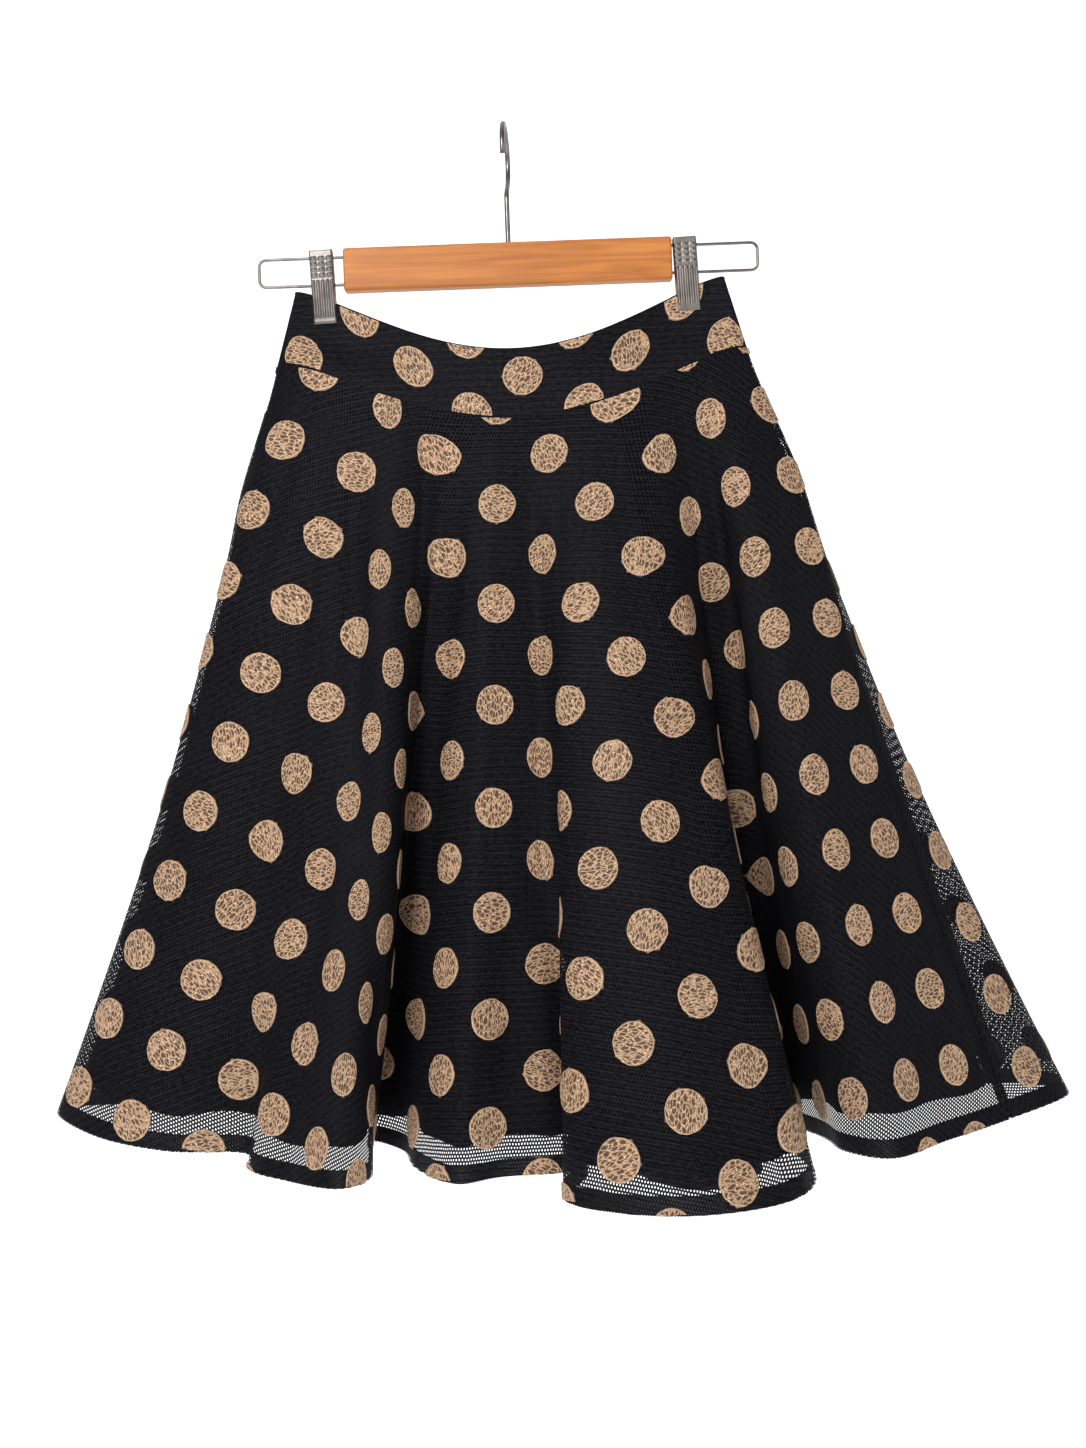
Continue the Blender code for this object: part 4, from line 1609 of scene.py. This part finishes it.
@dataclass
class Clip:
    """A pressed clip: two ribbed plates, each with side flanges, joined by the spring's pin."""

    side: str
    centre: float
    width: float = 0.0173
    length: float = 0.0540
    top: float = -0.0850
    plate: float = 0.0009
    inner_face: float = 0.8
    flange: float = 0.0012
    flange_from: float = 0.86
    lean: float = math.radians(2)
    grip: float = 0.0024
    columns: int = 45
    rows: int = 121
    border: float = 0.0004
    ribs: float = 5.0
    rib_height: float = 0.0014
    rib_reach: tuple = (0.40, 0.93)
    knobs_across: float = 3.1
    knobs_down: float = 8.0
    knob_height: float = 0.0012
    knob_reach: tuple = (0.08, 0.38)
    knob_half_width: float = 0.98
    slope: float = 0.03

    def height(self, across: np.ndarray, down: np.ndarray) -> np.ndarray:
        """Return how far the plate stands out, from its shape in the flat.

        Args:
            across: Place across the plate, from -1 to 1.
            down: Place down the plate, from 0 to 1.
        """
        edge = ease((1.0 - np.abs(across)) / 0.12) * ease(down / self.slope) * ease((1.0 - down) / self.slope)
        start, end = self.rib_reach
        ribs = 0.5 + 0.5 * np.cos(across * math.pi * self.ribs)
        ribs = ribs * ease((down - start) / self.slope) * ease((end - down) / self.slope)
        start, end = self.knob_reach
        knobs_x = 0.5 + 0.5 * np.cos(across * math.pi * self.knobs_across)
        knobs_y = 0.5 - 0.5 * np.cos((down - start) / (end - start) * math.pi * self.knobs_down)
        inside = (down > start) & (down < end) & (np.abs(across) < self.knob_half_width)
        knobs = np.clip(knobs_x * knobs_y, 0.0, 1.0) ** 0.7 * inside
        return edge * self.border + ribs * self.rib_height + knobs * self.knob_height

    def build(self, kit: Kit) -> None:
        """Make both plates and hide the plain ones."""
        for name, way in (("front", -1.0), ("back", 1.0)):
            word = f"clip_{self.side}_{name}"
            mesh = self.plate_mesh(f"{word}_plate", way)
            piece = linked(f"{word}_plate", mesh, kit.nickel)
            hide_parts(word)

    def plate_mesh(self, name: str, way: float) -> bpy.types.Mesh:
        """Return the mesh of one plate.

        Args:
            name: The mesh's name.
            way: The side of the cloth that it is on: -1 in front, 1 behind.

        Returns:
            The mesh.
        """
        grid = bmesh.new()
        bmesh.ops.create_grid(grid, x_segments=self.columns - 1, y_segments=self.rows - 1, size=0.5)
        outer = list(grid.verts)
        grown = bmesh.ops.extrude_face_region(grid, geom=grid.faces[:])
        inner = [item for item in grown["geom"] if isinstance(item, bmesh.types.BMVert)]
        for points, deep in ((outer, False), (inner, True)):
            start = np.array([point.co[:] for point in points])
            across = start[:, 0] * 2
            down = 0.5 - start[:, 1]
            for point, place in zip(points, self.places(across, down, way, deep)):
                point.co = place
        bmesh.ops.recalc_face_normals(grid, faces=grid.faces[:])
        mesh = meshed(name, grid)
        mesh.shade_smooth()
        mesh.set_sharp_from_angle(angle=math.radians(60))
        return mesh

    def places(self, across: np.ndarray, down: np.ndarray, way: float, deep: bool) -> np.ndarray:
        """Return the places of points of a plate.

        Args:
            across: Places across the plate, from -1 to 1.
            down: Places down the plate, from 0 to 1.
            way: The side of the cloth that it is on.
            deep: Whether they lie on its plain inner face.

        Returns:
            Places, in metres.
        """
        round_corner = 1.0 - 0.03 * (np.abs(down - 0.5) * 2) ** 30
        x = across * self.width / 2 * round_corner
        turned_in = np.clip((np.abs(across) - self.flange_from) / (1 - self.flange_from), 0.0, 1.0)
        out = self.grip + self.plate - turned_in**2 * self.flange
        out = out - self.plate * self.inner_face if deep else out + self.height(across, down)
        z = (0.5 - down) * self.length
        turned_x = x * math.cos(self.lean) - z * math.sin(self.lean)
        turned_z = x * math.sin(self.lean) + z * math.cos(self.lean)
        middle = self.top - self.length / 2
        return np.stack([self.centre + turned_x, way * out, middle + turned_z], axis=-1)


@dataclass
class Hanger:
    """The wooden bar, the swivel hook, the wire loops and the clips."""

    wire: float = 0.0011
    hook_wire: float = 0.0018
    hook_radius: float = 0.0220
    hook_turn: float = math.radians(4)
    hook_in_bar: float = 0.010
    tip: float = math.radians(-15)
    throat: float = math.radians(-50)
    bar_ends: tuple = (-0.1206, 0.1188)
    bar_z: float = -0.1004
    bar_height: float = 0.0314
    loop_ends: tuple = (-0.1834, 0.1826)
    loop_half: float = 0.0100
    loop_corner: float = 0.0050
    loop_in_bar: float = 0.010
    loop_sides: int = 14
    hook_sides: int = 16
    hook_steps: int = 90
    shank_steps: int = 24
    corner_steps: int = 10

    def build(self, kit: Kit) -> None:
        """Make the hook, the loops and the clips, and give the kept nodes their finish."""
        dress(frame["nodes"]["hanger_bar"].data, kit.wood)
        self.hook(kit)
        sides = ("left", "right")
        for side, bar_end, loop_end in zip(sides, self.bar_ends, self.loop_ends):
            self.loop(side, bar_end, loop_end, kit)
        for side, centre in zip(sides, (SIZES.clip_left_x, SIZES.clip_right_x)):
            dress(frame["nodes"][f"clip_{side}_spring"].data, kit.steel)
            Clip(side, centre).build(kit)

    def hook(self, kit: Kit) -> None:
        """Make the swivel hook, edge-on to the front."""
        centre = self.hook_wire - self.hook_radius
        angles = np.linspace(self.tip, math.pi - self.throat, self.hook_steps)
        back = -self.hook_radius * np.cos(angles)
        up = centre + self.hook_radius * np.sin(angles)
        shank = up[-1] - back[-1] * 1.1
        bottom = self.bar_z + self.bar_height / 2 - self.hook_in_bar
        shares = np.linspace(0.0, 1.0, self.shank_steps)[1:]
        back = np.concatenate([back, back[-1] * (1 - shares) ** 2, [0.0, 0.0]])
        up = np.concatenate([up, blend(up[-1], shank, shares**0.8), [(shank + bottom) / 2, bottom]])
        sine, cosine = math.sin(self.hook_turn), math.cos(self.hook_turn)
        centres = np.stack([back * sine, back * cosine, up], axis=-1)
        hook = tube("hook_wire", centres, self.hook_wire, self.hook_sides, kit.steel)
        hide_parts("hanger_hook")

    def loop(self, side: str, bar_end: float, loop_end: float, kit: Kit) -> None:
        """Make one wire loop with round corners.

        Args:
            side: The side of the hanger.
            bar_end: Where the bar ends.
            loop_end: Where the loop ends.
            kit: The materials.
        """
        way = math.copysign(1.0, loop_end - bar_end)
        far = loop_end - way * self.wire
        angles = np.linspace(0.0, math.pi / 2, self.corner_steps)
        across = far - way * self.loop_corner * (1 - np.sin(angles))
        height = self.loop_half - self.loop_corner * (1 - np.cos(angles))
        root = np.array([[bar_end - way * self.loop_in_bar, 0.0, -self.loop_half]])
        lower = np.stack([across, np.zeros_like(across), -height], axis=-1)
        half = np.concatenate([root, lower])
        centres = np.concatenate([half, half[::-1] * (1, 1, -1)])
        centres[:, 2] += self.bar_z
        piece = tube(f"loop_{side}_wire", centres, self.wire, self.loop_sides, kit.steel)
        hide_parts(f"loop_{side}")


@dataclass
class Studio:
    """A pale sweep of floor and wall, soft lights and the camera where the photo was taken."""

    distance: float = 1.200
    eye_x: float = 0.0125
    eye_z: float = -0.436
    roll: float = math.radians(2.1)
    focal_pixels: float = 1644.0
    photo_width: float = 1086.0
    sensor: float = 36.0
    floor_z: float = -1.35
    floor_width: float = 14.0
    floor_near: float = -4.5
    floor_far: float = 1.6
    bend: float = 1.2
    wall: float = 4.0
    aim: tuple = (0.0, 0.0, -0.45)
    lights: tuple = (
        ("key", (-0.9, -2.1, 1.0), 1.0, 54.0),
        ("fill", (1.9, -1.5, 0.4), 1.0, 9.0),
        ("top", (0.0, 0.2, 1.7), 1.6, 6.0),
    )
    sky: tuple = (0.97, 0.98, 1.0, 1.0)
    sky_strength: float = 0.13

    def build(self) -> None:
        """Make the sweep, the lights and the camera."""
        self.sweep()
        for name, place, size, power in self.lights:
            self.light(name, place, size, power)
        world = bpy.data.worlds.new("studio")
        world.use_nodes = True
        sky = world.node_tree.nodes["Background"]
        sky.inputs["Color"].default_value = self.sky
        sky.inputs["Strength"].default_value = self.sky_strength
        bpy.context.scene.world = world
        bpy.context.scene.view_settings.view_transform = "Standard"
        self.camera()

    def sweep(self) -> None:
        """Make the floor that curves up into a wall."""
        grid = bmesh.new()
        bmesh.ops.create_grid(grid, x_segments=8, y_segments=60, size=0.5)
        for point in grid.verts:
            across = point.co.x * self.floor_width
            share = (point.co.y + 0.5) * 3.0
            if share < 1.0:
                back, up = blend(self.floor_near, self.floor_far, share), 0.0
            elif share < 2.0:
                angle = (share - 1.0) * math.pi / 2
                back = self.floor_far + self.bend * math.sin(angle)
                up = self.bend * (1 - math.cos(angle))
            else:
                back, up = self.floor_far + self.bend, self.bend + (share - 2.0) * self.wall
            point.co = (across, back, self.floor_z + up)
        mesh = meshed("sweep", grid)
        mesh.shade_smooth()
        shader = Shader("paper")
        grain = shader.noise(shader.place(), 40.0)
        shader.set(Base_Color=shader.mix(grain, (0.90, 0.90, 0.90), (0.93, 0.93, 0.93)), Roughness=0.9)
        shader.set(Emission_Color=(1.0, 1.0, 1.0, 1.0), Emission_Strength=0.65)
        mesh.materials.append(shader.material)
        floor = bpy.data.objects.new("sweep", mesh)
        bpy.context.scene.collection.objects.link(floor)

    def light(self, name: str, place: tuple, size: float, power: float) -> None:
        """Make a soft square light that faces the middle of the skirt.

        Args:
            name: Its name.
            place: Where it stands.
            size: Its side, in metres.
            power: Its power, in watts.
        """
        lamp = bpy.data.lights.new(name, "AREA")
        lamp.size = size
        lamp.energy = power
        made = bpy.data.objects.new(name, lamp)
        made.location = place
        way = Vector(self.aim) - Vector(place)
        made.rotation_euler = way.to_track_quat("-Z", "Y").to_euler()
        bpy.context.scene.collection.objects.link(made)

    def camera(self) -> None:
        """Make the camera level with the middle of the skirt, rolled a little."""
        lens = bpy.data.cameras.new("camera")
        lens.sensor_width = self.sensor
        lens.sensor_fit = "HORIZONTAL"
        lens.lens = self.focal_pixels / self.photo_width * self.sensor
        made = bpy.data.objects.new("camera", lens)
        made.location = (self.eye_x, -self.distance, self.eye_z)
        made.rotation_euler = (math.pi / 2, self.roll, 0.0)
        bpy.context.scene.collection.objects.link(made)
        bpy.context.scene.camera = made


def main() -> None:
    """Build every piece and the stage."""
    logging.basicConfig(level=logging.INFO)
    kit = Kit()
    drape = Drape()
    cut = Cut(drape)
    Studio().build()
    for panel in Panel:
        BandHalf(panel).build(drape, kit)
        SkirtHalf(panel).build(drape, cut, kit)
    Seams().build(drape, kit)
    Hanger().build(kit)
    for piece in bpy.context.scene.objects:
        if piece.type == "MESH":
            LOG.info("%s: %d faces", piece.name, len(piece.data.polygons))


if __name__ == "__main__":
    main()
